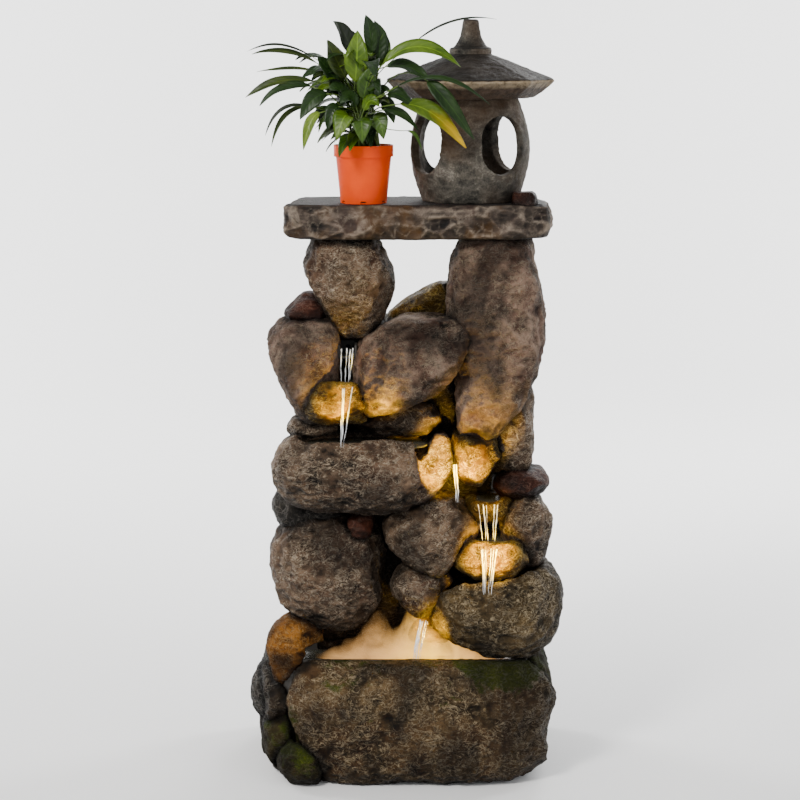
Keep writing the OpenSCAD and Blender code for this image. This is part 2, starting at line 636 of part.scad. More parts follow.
module leaf_room(stations) {
  last = len(stations) - 1;
  skin([
    for (r = [0 : 2 * last])
      let (s = section(stations, r / 2))
      [for (k = [0 : SIDES - 1])
        let (a = 360 * k / SIDES)
        [(s[1] + s[2] + signed_pow(cos(a), 0.8) * (s[2] - s[1])) / 2,
         (s[3] + s[4] + signed_pow(sin(a), 0.8) * (s[4] - s[3])) / 2, s[0]]]
  ]);
}

// ---- Pump ------------------------------------------------------------------

barb_r = hose_r - 0.2;
barb_h = 16;
axle_r = 1.5;
axle_clear = 0.06;
magnet_r = 8;
magnet_l = 20;
run_clear = 0.8;
chamber_l = 22;
intake_t = 6;
pump_front = pump_y - pump_d / 2;
pump_axis_z = pump_z + pump_h / 2;

module at_pump_axis(y = 0) {
  translate([pump_x, pump_front + y, pump_axis_z])
    rotate([-90, 0, 0])
      children();
}

module pump_housing() {
  color("#1c1d20")
    difference() {
      union() {
        translate([pump_x - pump_w / 2, pump_front, pump_z])
          cube([pump_w, pump_d, pump_h]);
        translate([pump_x, pump_front + chamber_l / 2, pump_z])
          cylinder(h = pump_h + barb_h, r = barb_r);
      }
      at_pump_axis(-1)
        cylinder(h = chamber_l + 1, r = chamber_r);
      at_pump_axis()
        cylinder(h = chamber_l + magnet_l + run_clear, r = magnet_r + run_clear);
      translate([pump_x, pump_front + chamber_l / 2, pump_axis_z])
        cylinder(h = pump_h + barb_h, r = barb_r - 2);
    }
}

module pump_intake_cover() {
  color("#2b2d31")
    difference() {
      translate([pump_x - pump_w / 2, pump_front - intake_t, pump_z])
        cube([pump_w, intake_t, pump_h]);
      at_pump_axis(-2)
        cylinder(h = 3, r = chamber_r);
      for (i = [-3 : 3])
        translate([pump_x + i * 6.5 - 1.5, pump_front - intake_t - 1, pump_z + 6])
          cube([3, intake_t + 2, pump_h / 2 - 16]);
      at_pump_axis(-intake_t - 1)
        cylinder(h = intake_t, r = axle_r + axle_clear);
    }
}

module pump_shaft() {
  color("#e8e6df")
    at_pump_axis(-1.6)
      cylinder(h = chamber_l + magnet_l + run_clear + 1.6, r = axle_r);
}

module pump_impeller() {
  bore_r = axle_r + axle_clear;
  blade_l = chamber_l - 6;
  color("#d8d8d4")
    difference() {
      union() {
        at_pump_axis(chamber_l - 1)
          cylinder(h = magnet_l, r = magnet_r);
        at_pump_axis(3)
          cylinder(h = chamber_l - 3, r = 4);
        at_pump_axis(chamber_l - 4)
          cylinder(h = 3, r = magnet_r + 2);
        for (a = [0 : 60 : 300])
          at_pump_axis(4)
            rotate(a)
              translate([0, -0.8, 0])
                cube([chamber_r - 3, 1.6, blade_l]);
      }
      at_pump_axis(-1)
        cylinder(h = chamber_l + magnet_l + 2, r = bore_r);
    }
}

knob_z = pump_h / 2 - 8;
knob_r = 6.5;

// The knob turns on a boss above the intake slots
module pump_flow_knob() {
  color("#3c4046")
    translate([pump_x, pump_front - intake_t - 0.3, pump_axis_z + knob_z])
      rotate([90, 0, 0]) {
        cylinder(h = 4, r = knob_r);
        translate([-1.5, 0, 0])
          cube([3, knob_r + 3, 4]);
      }
}

module pump_suction_cups() {
  color("#101114")
    for (sx = [-1, 1], sy = [-1, 1])
      translate([pump_x + sx * (pump_w / 2 - 11), pump_y + sy * (pump_d / 2 - 11), basin_base])
        rotate_extrude()
          polygon([[0, 1], [8, 0], [9, 1], [4, 3.5], [3.5, cup_h], [0, cup_h]]);
}

// ---- Water route --------------------------------------------------------

hose_bend = 26;
hose_top = 65.6 * uz;
spout_stub_r = 6;
spout_w = 28;
trough_h = 20;
spout_reach = 5.2 * uy;
hose_y = pump_front + chamber_l / 2;
hose_foot = pump_z + pump_h + 1;

module riser_hose() {
  r = hose_r + hose_wall;
  color("#4a4f55")
    translate([pump_x, hose_y, 0]) {
      translate([0, 0, hose_foot])
        tube(hose_top - hose_bend - hose_foot, r, hose_r);
      translate([0, -hose_bend, hose_top - hose_bend])
        rotate([90, 0, 90])
          rotate_extrude(angle = 90)
            translate([hose_bend, 0])
              difference() {
                circle(r);
                circle(hose_r);
              }
      if (hose_y - hose_bend > core_front + core_wall + 1)
        translate([0, -hose_bend, hose_top])
          rotate([90, 0, 0])
            tube(hose_y - hose_bend - core_front - core_wall - 1, r, hose_r);
    }
}

module tube(h, r_out, r_in) {
  difference() {
    cylinder(h = h, r = r_out);
    translate([0, 0, -1])
      cylinder(h = h + 2, r = r_in);
  }
}

// Room that the rocks leave for the spout
module spout_room(grow, height = trough_h) {
  translate([pump_x - spout_w / 2 - grow, core_front - spout_reach - grow, hose_top - trough_h / 2 - grow])
    cube([spout_w + 2 * grow, spout_reach + grow, height + 2 * grow]);
}

// A trough that carries the water from the hose to the notch between the top rocks
module water_spout() {
  wall = 3;
  color("#23211f")
    translate([pump_x, core_front, hose_top])
      difference() {
        union() {
          translate([-spout_w / 2, -spout_reach, -trough_h / 2])
            cube([spout_w, spout_reach - bond_gap, trough_h]);
          rotate([-90, 0, 0])
            translate([0, 0, -1])
              cylinder(h = core_wall + 9, r = spout_stub_r - 0.2);
        }
        translate([-spout_w / 2 + wall, -spout_reach - 1, -trough_h / 2 + wall])
          cube([spout_w - 2 * wall, spout_reach - wall, trough_h]);
        rotate([-90, 0, 0])
          translate([0, 0, -10])
            cylinder(h = core_wall + 30, r = spout_stub_r - 2);
      }
}

// ---- Lights and mist -------------------------------------------------------

led_h = 16;
lens_h = 3;
LEDS = [[-11 * ux, -7.2 * uy, 48.1 * uz], [12.9 * ux, -7.2 * uy, 34.1 * uz], [18.2 * ux, -6.8 * uy, 26.6 * uz],
  [5 * ux, -10.4 * uy, basin_base]];

module led_housings() {
  color("#18191b")
    for (p = LEDS)
      translate(p)
        difference() {
          cylinder(h = led_h, r = led_r);
          translate([0, 0, 3])
            cylinder(h = led_h, r = led_r - 2);
        }
}

module led_lenses() {
  color("#f4e6b8")
    for (p = LEDS)
      translate([p[0], p[1], p[2] + led_h - lens_h])
        cylinder(h = lens_h, r = led_r - 2.2);
}

mist_r = 22;
mist_h = 24;
mist_x = -6 * ux;
mist_y = -8 * uy;

module mist_maker() {
  color("#8a8d90")
    translate([mist_x, mist_y, basin_base])
      difference() {
        cylinder(h = mist_h, r = mist_r);
        translate([0, 0, mist_h - 4])
          cylinder(h = 5, r = 11);
      }
}

module mist_disc() {
  color("#d9b45a")
    translate([mist_x, mist_y, basin_base + mist_h - 4])
      cylinder(h = 1.2, r = 10.4);
}

// ---- Cable gland ------------------------------------------------------------

gland_r = 8;
gland_flange_r = 12;

module cable_gland() {
  inner_end = panel_y - 12;
  color("#161719")
    translate([gland_x, 0, gland_z])
      difference() {
        union() {
          translate([0, inner_end, 0])
            rotate([-90, 0, 0])
              cylinder(h = gland_end - inner_end, r = gland_r);
          translate([0, cover_y + 0.2, 0])
            rotate([-90, 0, 0])
              cylinder(h = 5, r = gland_flange_r);
        }
        translate([0, inner_end - 1, 0])
          rotate([-90, 0, 0])
            cylinder(h = gland_end - inner_end + 2, r = gland_bore_r);
      }
}

module gland_nut() {
  color("#161719")
    translate([gland_x, panel_y - 6.3, gland_z])
      rotate([-90, 0, 0])
        difference() {
          cylinder(h = 6, r = gland_flange_r, $fn = 6);
          translate([0, 0, -1])
            cylinder(h = 8, r = gland_r + 0.1);
        }
}

// ---- Nodes -----------------------------------------------------------------

foot_pads();
basin_shell();
column_core();
rear_panel();
access_cover();
cover_pull();
front_boulder();
base_corner_stone();
base_moss_stone();
base_dark_stone();
base_orange_stone();
base_right_stone();
base_left_rear_stone();
base_right_rear_stone();
base_rear_stone();
lower_left_boulder();
lower_right_bowl();
centre_stone();
splash_stone();
wedge_stone();
small_stone();
middle_bowl();
mid_left_stone();
mid_right_stone();
mid_spill_stone();
mid_ledge_stone();
red_stone_right();
upper_left_stone();
upper_right_stone();
upper_spill_stone();
ledge_stone_left();
ledge_stone_right();
red_stone_left();
left_pillar();
right_pillar();
pillar_foot();
pillar_rear();
ridge_stone();
slab();
slab_chip();
lantern_house();
lantern_roof();
plant_pot();
potting_soil();
plant_foliage();
pump_housing();
pump_intake_cover();
pump_shaft();
pump_impeller();
pump_flow_knob();
pump_suction_cups();
riser_hose();
water_spout();
led_housings();
led_lenses();
mist_maker();
mist_disc();
cable_gland();
gland_nut();
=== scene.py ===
"""Looks of the cascade rock fountain: weathered rocks, water, mist, lantern, slab and potted plant."""
import json
import math
import random

import bmesh
import bpy
import numpy as np
from mathutils import Matrix, Vector, noise
from mathutils.bvhtree import BVHTree


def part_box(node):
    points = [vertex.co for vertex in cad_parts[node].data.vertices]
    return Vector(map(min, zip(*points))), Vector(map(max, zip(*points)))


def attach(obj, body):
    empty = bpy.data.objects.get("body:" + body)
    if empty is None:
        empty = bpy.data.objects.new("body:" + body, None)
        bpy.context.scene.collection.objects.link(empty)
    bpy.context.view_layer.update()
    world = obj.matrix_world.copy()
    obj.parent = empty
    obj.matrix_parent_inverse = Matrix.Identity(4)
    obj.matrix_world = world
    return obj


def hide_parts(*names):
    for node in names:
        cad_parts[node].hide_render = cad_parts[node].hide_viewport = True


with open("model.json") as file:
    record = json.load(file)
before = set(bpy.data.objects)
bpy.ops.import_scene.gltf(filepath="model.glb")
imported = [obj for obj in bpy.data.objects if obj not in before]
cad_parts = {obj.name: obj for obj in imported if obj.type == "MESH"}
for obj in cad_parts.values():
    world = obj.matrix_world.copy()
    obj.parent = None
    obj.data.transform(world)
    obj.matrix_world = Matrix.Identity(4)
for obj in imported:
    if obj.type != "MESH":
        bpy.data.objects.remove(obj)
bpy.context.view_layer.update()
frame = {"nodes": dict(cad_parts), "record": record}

MM = 0.001
SLOTS = {row["node"]: row["material_slot"] for row in frame["record"]["subparts"]}
BODY_OF = {node: body for body, nodes in frame["record"]["behaviour"]["bodies"].items() for node in nodes}


# ---- Camera --------------------------------------------------------------------

def make_camera():
    """A long lens a little above the top of the object, looking slightly down."""
    cam = bpy.data.objects.new("camera", bpy.data.cameras.new("camera"))
    bpy.context.collection.objects.link(cam)
    cam.location = (0, -3.2, 1.15)
    cam.rotation_euler = (math.radians(90 - 10.3), 0, 0)
    cam.data.sensor_width = 36
    cam.data.lens = 93.74
    bpy.context.scene.camera = cam


# ---- Node material helpers ---------------------------------------------------------

class Shader:
    """A material under construction, with short calls for the nodes used here."""

    def __init__(self, name):
        self.mat = bpy.data.materials.new(name)
        self.mat.use_nodes = True
        self.tree = self.mat.node_tree
        self.bsdf = self.tree.nodes["Principled BSDF"]
        self.coords = self.tree.nodes.new("ShaderNodeTexCoord").outputs["Object"]

    def node(self, kind, **settings):
        n = self.tree.nodes.new(kind)
        for key, value in settings.items():
            setattr(n, key, value)
        return n

    def link(self, a, b):
        self.tree.links.new(a, b)

    def put(self, socket, value):
        """Feeds a socket with a number, a colour or another node's output."""
        if isinstance(value, bpy.types.NodeSocket):
            self.link(value, socket)
        elif isinstance(value, (tuple, list)) and len(value) == 3 and len(socket.default_value) == 4:
            socket.default_value = (*value, 1)
        else:
            socket.default_value = value

    def mapped(self, scale, rotation=(0, 0, 0), offset=(0, 0, 0)):
        m = self.node("ShaderNodeMapping")
        self.link(self.coords, m.inputs["Vector"])
        m.inputs["Scale"].default_value = scale if isinstance(scale, tuple) else (scale,) * 3
        m.inputs["Rotation"].default_value = rotation
        m.inputs["Location"].default_value = offset
        return m.outputs[0]

    def noise(self, scale, detail=4, rough=0.55, distort=0.0, vector=None):
        n = self.node("ShaderNodeTexNoise")
        self.link(vector or self.coords, n.inputs["Vector"])
        n.inputs["Scale"].default_value = scale
        n.inputs["Detail"].default_value = detail
        n.inputs["Roughness"].default_value = rough
        n.inputs["Distortion"].default_value = distort
        return n.outputs["Fac"]

    def voronoi(self, scale, feature="F1", vector=None):
        n = self.node("ShaderNodeTexVoronoi", feature=feature)
        self.link(vector or self.coords, n.inputs["Vector"])
        n.inputs["Scale"].default_value = scale
        return n.outputs["Distance"]

    def attribute(self, name):
        return self.node("ShaderNodeAttribute", attribute_name=name).outputs["Fac"]

    def ramp(self, value, stops):
        n = self.node("ShaderNodeValToRGB")
        self.link(value, n.inputs["Fac"])
        ramp = n.color_ramp
        while len(ramp.elements) < len(stops):
            ramp.elements.new(0.5)
        for element, (place, colour) in zip(ramp.elements, stops):
            element.position = place
            grey = not isinstance(colour, (tuple, list))
            element.color = (colour, colour, colour, 1) if grey else (*colour, 1)
        return n.outputs["Color"]

    def remap(self, value, low, high, out_low=0.0, out_high=1.0):
        n = self.node("ShaderNodeMapRange")
        self.link(value, n.inputs["Value"])
        for key, v in (("From Min", low), ("From Max", high), ("To Min", out_low), ("To Max", out_high)):
            n.inputs[key].default_value = v
        return n.outputs["Result"]

    def math(self, operation, a, b=0.0):
        n = self.node("ShaderNodeMath", operation=operation)
        self.put(n.inputs[0], a)
        self.put(n.inputs[1], b)
        return n.outputs[0]

    def mix(self, fac, a, b, blend="MIX"):
        n = self.node("ShaderNodeMix", data_type="RGBA", blend_type=blend)
        self.put(n.inputs["Factor"], fac)
        self.put(n.inputs["A"], a)
        self.put(n.inputs["B"], b)
        return n.outputs["Result"]

    def axis(self, index, source=None):
        """One coordinate of the point on the object, or of a vector."""
        n = self.node("ShaderNodeSeparateXYZ")
        self.link(source or self.coords, n.inputs[0])
        return n.outputs[index]

    def facing_up(self):
        geometry = self.node("ShaderNodeNewGeometry")
        return self.axis(2, geometry.outputs["Normal"])

    def bump(self, height, strength, distance, under=None):
        n = self.node("ShaderNodeBump")
        self.link(height, n.inputs["Height"])
        n.inputs["Strength"].default_value = strength
        n.inputs["Distance"].default_value = distance
        if under:
            self.link(under, n.inputs["Normal"])
        return n.outputs["Normal"]

    def finish(self, **sockets):
        """Sets the Principled sockets by name, with _ for a space, and returns the material."""
        for name, value in sockets.items():
            self.put(self.bsdf.inputs[name.replace("_", " ")], value)
        return self.mat


# ---- Stone materials --------------------------------------------------------------------

def stone_material(name, dark, mid, light, patch, patch_amount=0.35, moss=0.0, moss_top=0.0, wet=0.3, crinkle=1.0):
    """Cast stone: soft dark and light areas, coloured patches, thin pale crinkles painted as highlights along fine
    ridges, pitted grit, and painted shade in the gaps between rocks and on faces that look down.
    moss is the share of moss over the whole rock, moss_top adds it on faces that look up."""
    s = Shader(name)
    relief = s.attribute("relief")
    gap = s.attribute("gap")
    mossy = s.attribute("mossy")
    broad = s.noise(9, 4, 0.6, 0.8)
    mottle = s.noise(48, 6, 0.7, 0.6)
    grit = s.noise(480, 4, 0.75)
    curl = s.noise(62, 3, 0.6, 1.2, s.mapped((1, 1, 1.6), (0.6, 0.3, 0.2)))
    fine_curl = s.noise(190, 2, 0.55, 0.7)

    height = s.math("ADD", s.math("MULTIPLY", broad, 0.70), s.math("MULTIPLY", mottle, 0.42))
    height = s.math("ADD", height, s.math("MULTIPLY", relief, 0.34))
    height = s.math("ADD", height, s.math("MULTIPLY", s.math("SUBTRACT", grit, 0.5), 0.20))
    colour = s.ramp(height, [(0.56, dark), (0.635, [m * 0.6 for m in mid]), (0.71, mid), (0.86, [m * 2.6 for m in mid])])
    patches = s.noise(13, 5, 0.65, 0.5, s.mapped(1, (0, 0, 0), (3.1, 1.7, 0.4)))
    patch_mask = s.remap(patches, 0.60 - 0.22 * patch_amount, 0.70 - 0.16 * patch_amount)
    colour = s.mix(s.math("MULTIPLY", patch_mask, 0.7), colour, s.mix(0.5, colour, patch))

    def lines(value, width):
        return s.remap(s.math("ABSOLUTE", s.math("SUBTRACT", value, 0.5)), width, width * 0.15)

    # Painted highlights: thin pale crinkle lines along fine ridges, mixed in with the light colour; crinkle scales
    # them.
    thin = s.math("MAXIMUM", lines(curl, 0.040), s.math("MULTIPLY", lines(fine_curl, 0.050), 0.3))
    where = s.remap(s.math("ADD", s.noise(26, 4, 0.65), s.math("MULTIPLY", relief, 0.25)), 0.50, 0.62)
    thin = s.math("MULTIPLY", s.math("MULTIPLY", thin, where), crinkle)
    colour = s.mix(s.math("MULTIPLY", thin, 0.95), colour, light)
    specks = s.remap(s.math("ADD", grit, s.math("MULTIPLY", mottle, 0.35)), 0.78, 0.92)
    colour = s.mix(s.math("MULTIPLY", specks, 0.3), colour, light)
    pits = s.remap(s.math("ADD", fine_curl, s.math("MULTIPLY", grit, 0.3)), 0.62, 0.50)
    colour = s.mix(s.math("MULTIPLY", pits, 0.40), colour, [d * 0.4 for d in dark])

    rough = s.remap(s.math("ADD", s.noise(60, 4), s.math("MULTIPLY", grit, 0.5)), 0.5, 1.0, 0.78 - wet, 0.95 - wet * 0.5)
    if moss or moss_top:
        tufts = s.noise(26, 6, 0.7, 0.5)
        amount = s.math("ADD", s.math("MULTIPLY", s.facing_up(), 0.30 * moss_top), tufts)
        amount = s.math("ADD", amount, s.math("MULTIPLY", mossy, 0.42))
        mask = s.remap(amount, 0.74 - 0.3 * moss, 0.86 - 0.3 * moss)
        green = s.ramp(s.noise(300, 5, 0.8), [(0.3, (0.009, 0.015, 0.0008)), (0.55, (0.038, 0.050, 0.0024)),
                                              (0.8, (0.11, 0.125, 0.010))])
        colour = s.mix(s.math("MULTIPLY", mask, 0.88), colour, green)
        rough = s.math("MAXIMUM", rough, s.math("MULTIPLY", mask, 0.92))
    # Painted shade: darker in the gaps between the rocks, over the boulder's right end, and on faces that look down;
    # random dark clouds join it.
    shade = s.math("MAXIMUM", gap, s.remap(s.facing_up(), 0.22, -0.68, 0.0, 0.95))
    cloud = s.remap(s.noise(11, 3, 0.5, 0.6, s.mapped((1, 1, 0.6), (0, 0, 0), (1.3, 4.1, 2.2))), 0.56, 0.40, 0.0, 0.8)
    shade = s.math("MAXIMUM", shade, cloud)
    colour = s.mix(s.math("MULTIPLY", shade, 0.92), colour, [d * 0.5 for d in dark])
    normal = s.bump(s.math("ADD", thin, s.math("MULTIPLY", mottle, 1.6)), 0.8, 1.6 * MM)
    normal = s.bump(s.math("ADD", grit, fine_curl), 0.6, 0.9 * MM, normal)
    shine = s.math("ADD", s.math("MULTIPLY", thin, 0.35), 0.10)
    return s.finish(Base_Color=colour, Roughness=rough, Normal=normal, Specular_IOR_Level=shine)


def slate_material(name):
    """Knapped slate: dark hollows, pale chipped edges, ochre and pinkish patches, a dull level top, and painted shade
    on faces that look down.
    """
    s = Shader(name)
    relief = s.attribute("relief")
    edge = s.attribute("edge")
    layers = s.noise(1.0, 6, 0.6, 0.9, s.mapped((22, 22, 110)))
    grain = s.noise(360, 5, 0.75)
    cloud = s.noise(30, 5, 0.65, 0.5)
    height = s.math("ADD", s.math("MULTIPLY", relief, 0.34), s.math("MULTIPLY", layers, 0.53))
    height = s.math("ADD", height, s.math("MULTIPLY", s.math("SUBTRACT", cloud, 0.5), 0.5))
    colour = s.ramp(height, [(0.30, (0.0022, 0.0016, 0.0013)), (0.39, (0.0150, 0.0108, 0.0082)),
                             (0.50, (0.034, 0.0250, 0.0190)), (0.66, (0.105, 0.080, 0.062))])
    ochre = s.remap(s.noise(12, 4, 0.6), 0.50, 0.62)
    colour = s.mix(s.math("MULTIPLY", ochre, 0.65), colour, s.mix(0.6, colour, (0.095, 0.042, 0.006)))
    pink = s.remap(s.noise(17, 4, 0.6, 0, s.mapped(1, (0, 0, 0), (2, 5, 1))), 0.56, 0.70)
    colour = s.mix(s.math("MULTIPLY", pink, 0.5), colour, s.mix(0.5, colour, (0.085, 0.047, 0.037)))
    chipped = s.math("MULTIPLY", edge, s.remap(s.noise(45, 5, 0.7, 0.5), 0.44, 0.62))
    colour = s.mix(s.math("MULTIPLY", chipped, 0.65), colour, (0.24, 0.195, 0.15))
    top = s.remap(s.facing_up(), 0.75, 0.98)
    dull = s.ramp(s.noise(40, 5, 0.65), [(0.3, (0.0035, 0.0030, 0.0028)), (0.75, (0.0165, 0.0140, 0.0125))])
    colour = s.mix(s.math("MULTIPLY", top, 0.85), colour, dull)
    # Painted shade: darker on faces that look down.
    under = s.remap(s.facing_up(), -0.15, -0.85)
    colour = s.mix(s.math("MULTIPLY", under, 0.8), colour, (0.004, 0.003, 0.0025))
    normal = s.bump(s.math("ADD", layers, s.math("MULTIPLY", cloud, 0.8)), 0.8, 1.8 * MM)
    normal = s.bump(grain, 0.6, 0.8 * MM, normal)
    rough = s.remap(grain, 0.3, 0.7, 0.5, 0.85)
    return s.finish(Base_Color=colour, Roughness=rough, Normal=normal, Specular_IOR_Level=0.15)


def lantern_material(name, worn_from=None, pale_from=None, pale_to=None):
    """Speckled charcoal stone with painted shade on faces that look down. On the roof the brim is worn brown, with a
    pale band on its upper part painted as a highlight.
    """
    s = Shader(name)
    relief = s.attribute("relief")
    speckle = s.noise(330, 5, 0.78)
    cloud = s.noise(20, 5, 0.62, 0.5)
    tone = s.math("ADD", s.math("MULTIPLY", speckle, 0.55), s.math("MULTIPLY", relief, 0.30))
    tone = s.math("ADD", tone, s.math("MULTIPLY", cloud, 0.45))
    colour = s.ramp(tone, [(0.46, (0.0050, 0.0050, 0.0045)), (0.58, (0.038, 0.0350, 0.0295)),
                           (0.71, (0.080, 0.071, 0.058)), (0.90, (0.26, 0.235, 0.195))])
    warm = s.remap(s.noise(9, 3, 0.5, 0, s.mapped(1, (0, 0, 0), (0, 4, 9))), 0.44, 0.62)
    colour = s.mix(s.math("MULTIPLY", warm, 0.75), colour, s.mix(0.6, colour, (0.080, 0.043, 0.020)))
    if pale_from is not None:
        z = s.math("ADD", s.axis(2), s.math("MULTIPLY", s.math("SUBTRACT", s.noise(40, 4), 0.5), 10 * MM))
        colour = s.mix(s.remap(s.facing_up(), 0.30, 0.70, 0.0, 0.80), colour, (0.0040, 0.0036, 0.0031))
        steep = s.remap(s.facing_up(), 0.55, 0.30)
        brim = s.math("MULTIPLY", steep, s.remap(z, pale_to + 2 * MM, pale_to - 2 * MM))
        worn = s.ramp(s.noise(110, 5, 0.7), [(0.3, (0.018, 0.012, 0.008)), (0.55, (0.078, 0.048, 0.030)),
                                            (0.8, (0.15, 0.10, 0.075))])
        colour = s.mix(s.math("MULTIPLY", brim, 0.75), colour, worn)
        # Painted highlight: a pale band along the upper part of the brim.
        band = s.math("MULTIPLY", brim, s.remap(z, pale_from - 2 * MM, pale_from + 2 * MM))
        pale = s.ramp(s.noise(80, 5, 0.7), [(0.30, (0.050, 0.037, 0.024)), (0.48, (0.23, 0.175, 0.110)),
                                           (0.75, (0.36, 0.29, 0.20))])
        colour = s.mix(s.math("MULTIPLY", band, 0.9), colour, pale)
    # Painted shade: darker on faces that look down.
    under = s.remap(s.facing_up(), -0.25, -0.9)
    colour = s.mix(s.math("MULTIPLY", under, 0.6), colour, (0.003, 0.003, 0.003))
    normal = s.bump(speckle, 0.8, 1.3 * MM)
    normal = s.bump(s.noise(75, 5, 0.65), 0.6, 2.5 * MM, normal)
    return s.finish(Base_Color=colour, Roughness=s.remap(speckle, 0.3, 0.7, 0.50, 0.85), Normal=normal,
                    Specular_IOR_Level=0.08)


# ---- Other materials -----------------------------------------------------------------------

def plastic_material(name, colour, rough=0.45, mottle=0.12, grain=500, bump=0.15, shine=0.5):
    """Moulded plastic or resin: a little mottle in the colour, a fine skin in the bump."""
    s = Shader(name)
    dark = [c * (1 - mottle) for c in colour]
    lit = [min(1, c * (1 + mottle)) for c in colour]
    base = s.ramp(s.noise(30, 4), [(0.3, dark), (0.7, lit)])
    skin = s.noise(grain, 3, 0.6)
    return s.finish(Base_Color=base, Roughness=s.remap(skin, 0.3, 0.7, rough - 0.06, rough + 0.08),
                    Normal=s.bump(skin, bump, 0.3 * MM), Specular_IOR_Level=shine)


def pot_material():
    s = Shader("pot_plastic")
    base = s.ramp(s.noise(22, 3), [(0.3, (0.64, 0.046, 0.0004)), (0.7, (0.74, 0.066, 0.0006))])
    scuff = s.remap(s.noise(1.0, 6, 0.7, 0.2, s.mapped((60, 60, 400))), 0.60, 0.78)
    base = s.mix(s.math("MULTIPLY", scuff, 0.15), base, (0.80, 0.17, 0.03))
    rough = s.remap(s.noise(140, 4), 0.3, 0.7, 0.40, 0.54)
    return s.finish(Base_Color=base, Roughness=rough, Normal=s.bump(s.noise(260, 3), 0.12, 0.3 * MM),
                    Specular_IOR_Level=0.12)


def soil_material():
    s = Shader("soil")
    crumbs = s.voronoi(330)
    base = s.ramp(crumbs, [(0.1, (0.075, 0.045, 0.025)), (0.5, (0.022, 0.014, 0.009)), (0.9, (0.006, 0.004, 0.003))])
    return s.finish(Base_Color=base, Roughness=0.95, Normal=s.bump(s.noise(500, 5, 0.8), 1.0, 2 * MM))


def leaf_material(name, dark, light, tip=None):
    """Leaf: paler midrib and faint side veins from the leaf's own coordinates, and a colour for the tip."""
    s = Shader(name)
    across = s.attribute("across")
    along = s.attribute("along")
    patch = s.noise(34, 4, 0.6)
    base = s.ramp(patch, [(0.34, dark), (0.66, light)])
    veins = s.math("SINE", s.math("ADD", s.math("MULTIPLY", along, 46), s.math("MULTIPLY", across, -9)))
    base = s.mix(s.math("MULTIPLY", s.remap(veins, 0.5, 1.0), 0.16), base, [min(1, 1.8 * c) for c in light])
    rib = s.math("MULTIPLY", s.remap(across, 0.09, 0.02), 0.38)
    base = s.mix(rib, base, [min(1, 2.6 * c) for c in light])
    if tip:
        worn = s.math("ADD", along, s.math("MULTIPLY", s.math("SUBTRACT", s.noise(60, 4), 0.5), 0.35))
        worn = s.math("SUBTRACT", worn, s.math("MULTIPLY", across, 0.18))
        base = s.mix(s.remap(worn, 0.42, 0.95), base, tip)
    height = s.math("ADD", veins, s.math("MULTIPLY", patch, 0.5))
    return s.finish(Base_Color=base, Roughness=s.remap(patch, 0.3, 0.7, 0.34, 0.50),
                    Normal=s.bump(height, 0.2, 0.5 * MM), Specular_IOR_Level=0.25)


def stem_material():
    s = Shader("stems")
    base = s.ramp(s.noise(60, 4), [(0.3, (0.035, 0.070, 0.008)), (0.7, (0.105, 0.160, 0.022))])
    return s.finish(Base_Color=base, Roughness=0.5, Normal=s.bump(s.noise(400, 3), 0.2, 0.3 * MM),
                    Specular_IOR_Level=0.3)


def water_material(name, tint, alpha, rough=0.06):
    """Still or falling water as a thin clear skin with ripples."""
    s = Shader(name)
    ripple = s.noise(70, 4, 0.55, 1.2)
    base = s.ramp(ripple, [(0.3, [t * 0.7 for t in tint]), (0.7, tint)])
    return s.finish(Base_Color=base, Roughness=s.remap(ripple, 0.3, 0.7, rough, rough + 0.06), IOR=1.33,
                    Normal=s.bump(ripple, 0.5, 2.5 * MM), Alpha=alpha)


def stream_material(name, glow):
    """Broken white threads of falling water, with a little painted glow in their emission for the lamp light from
    below.
    """
    s = Shader(name)
    threads = s.noise(1.0, 5, 0.65, 0.3, s.mapped((420, 420, 34)))
    alpha = s.remap(threads, 0.40, 0.60, 0.12, 0.92)
    base = s.ramp(threads, [(0.35, (0.55, 0.56, 0.58)), (0.65, (0.95, 0.96, 0.98))])
    return s.finish(Base_Color=base, Roughness=s.remap(threads, 0.3, 0.7, 0.05, 0.2), Alpha=alpha,
                    Emission_Color=base, Emission_Strength=glow, Normal=s.bump(threads, 0.6, 1.2 * MM))


def mist_material():
    """Mist with the light of the lamp under it painted in as a glow: creamy wisps, by the thickness stored in the mesh.
    """
    s = Shader("mist")
    wisps = s.noise(20, 5, 0.6, 1.2)
    thickness = s.attribute("bank_thickness")
    lamp_glow = s.attribute("lamp_share")
    alpha = s.math("MULTIPLY", thickness, s.remap(wisps, 0.36, 0.60, 0.25, 1.0))
    glow = s.mix(lamp_glow, (1.0, 0.50, 0.15), (1.0, 0.54, 0.02))
    return s.finish(Base_Color=s.mix(wisps, (0.10, 0.070, 0.040), (0.18, 0.130, 0.075)), Roughness=1.0, Alpha=alpha,
                    Emission_Color=glow, Emission_Strength=s.math("ADD", s.math("MULTIPLY", lamp_glow, 2.6), 0.95),
                    Specular_IOR_Level=0.0)


def metal_material(name, colour, rough):
    s = Shader(name)
    brushed = s.noise(1.0, 5, 0.6, 0, s.mapped((30, 30, 900)))
    base = s.ramp(brushed, [(0.3, [c * 0.85 for c in colour]), (0.7, colour)])
    return s.finish(Base_Color=base, Metallic=1.0, Roughness=s.remap(brushed, 0.3, 0.7, rough, rough + 0.15),
                    Normal=s.bump(brushed, 0.1, 0.2 * MM))


def lens_material():
    s = Shader("led_lens")
    ribs = s.noise(220, 3)
    base = s.ramp(ribs, [(0.3, (0.95, 0.72, 0.34)), (0.7, (1.0, 0.88, 0.58))])
    return s.finish(Base_Color=base, Roughness=0.25, Emission_Color=(1.0, 0.62, 0.2), Emission_Strength=2.0,
                    Normal=s.bump(ribs, 0.2, 0.4 * MM))


# ---- Mesh helpers -----------------------------------------------------------------------------

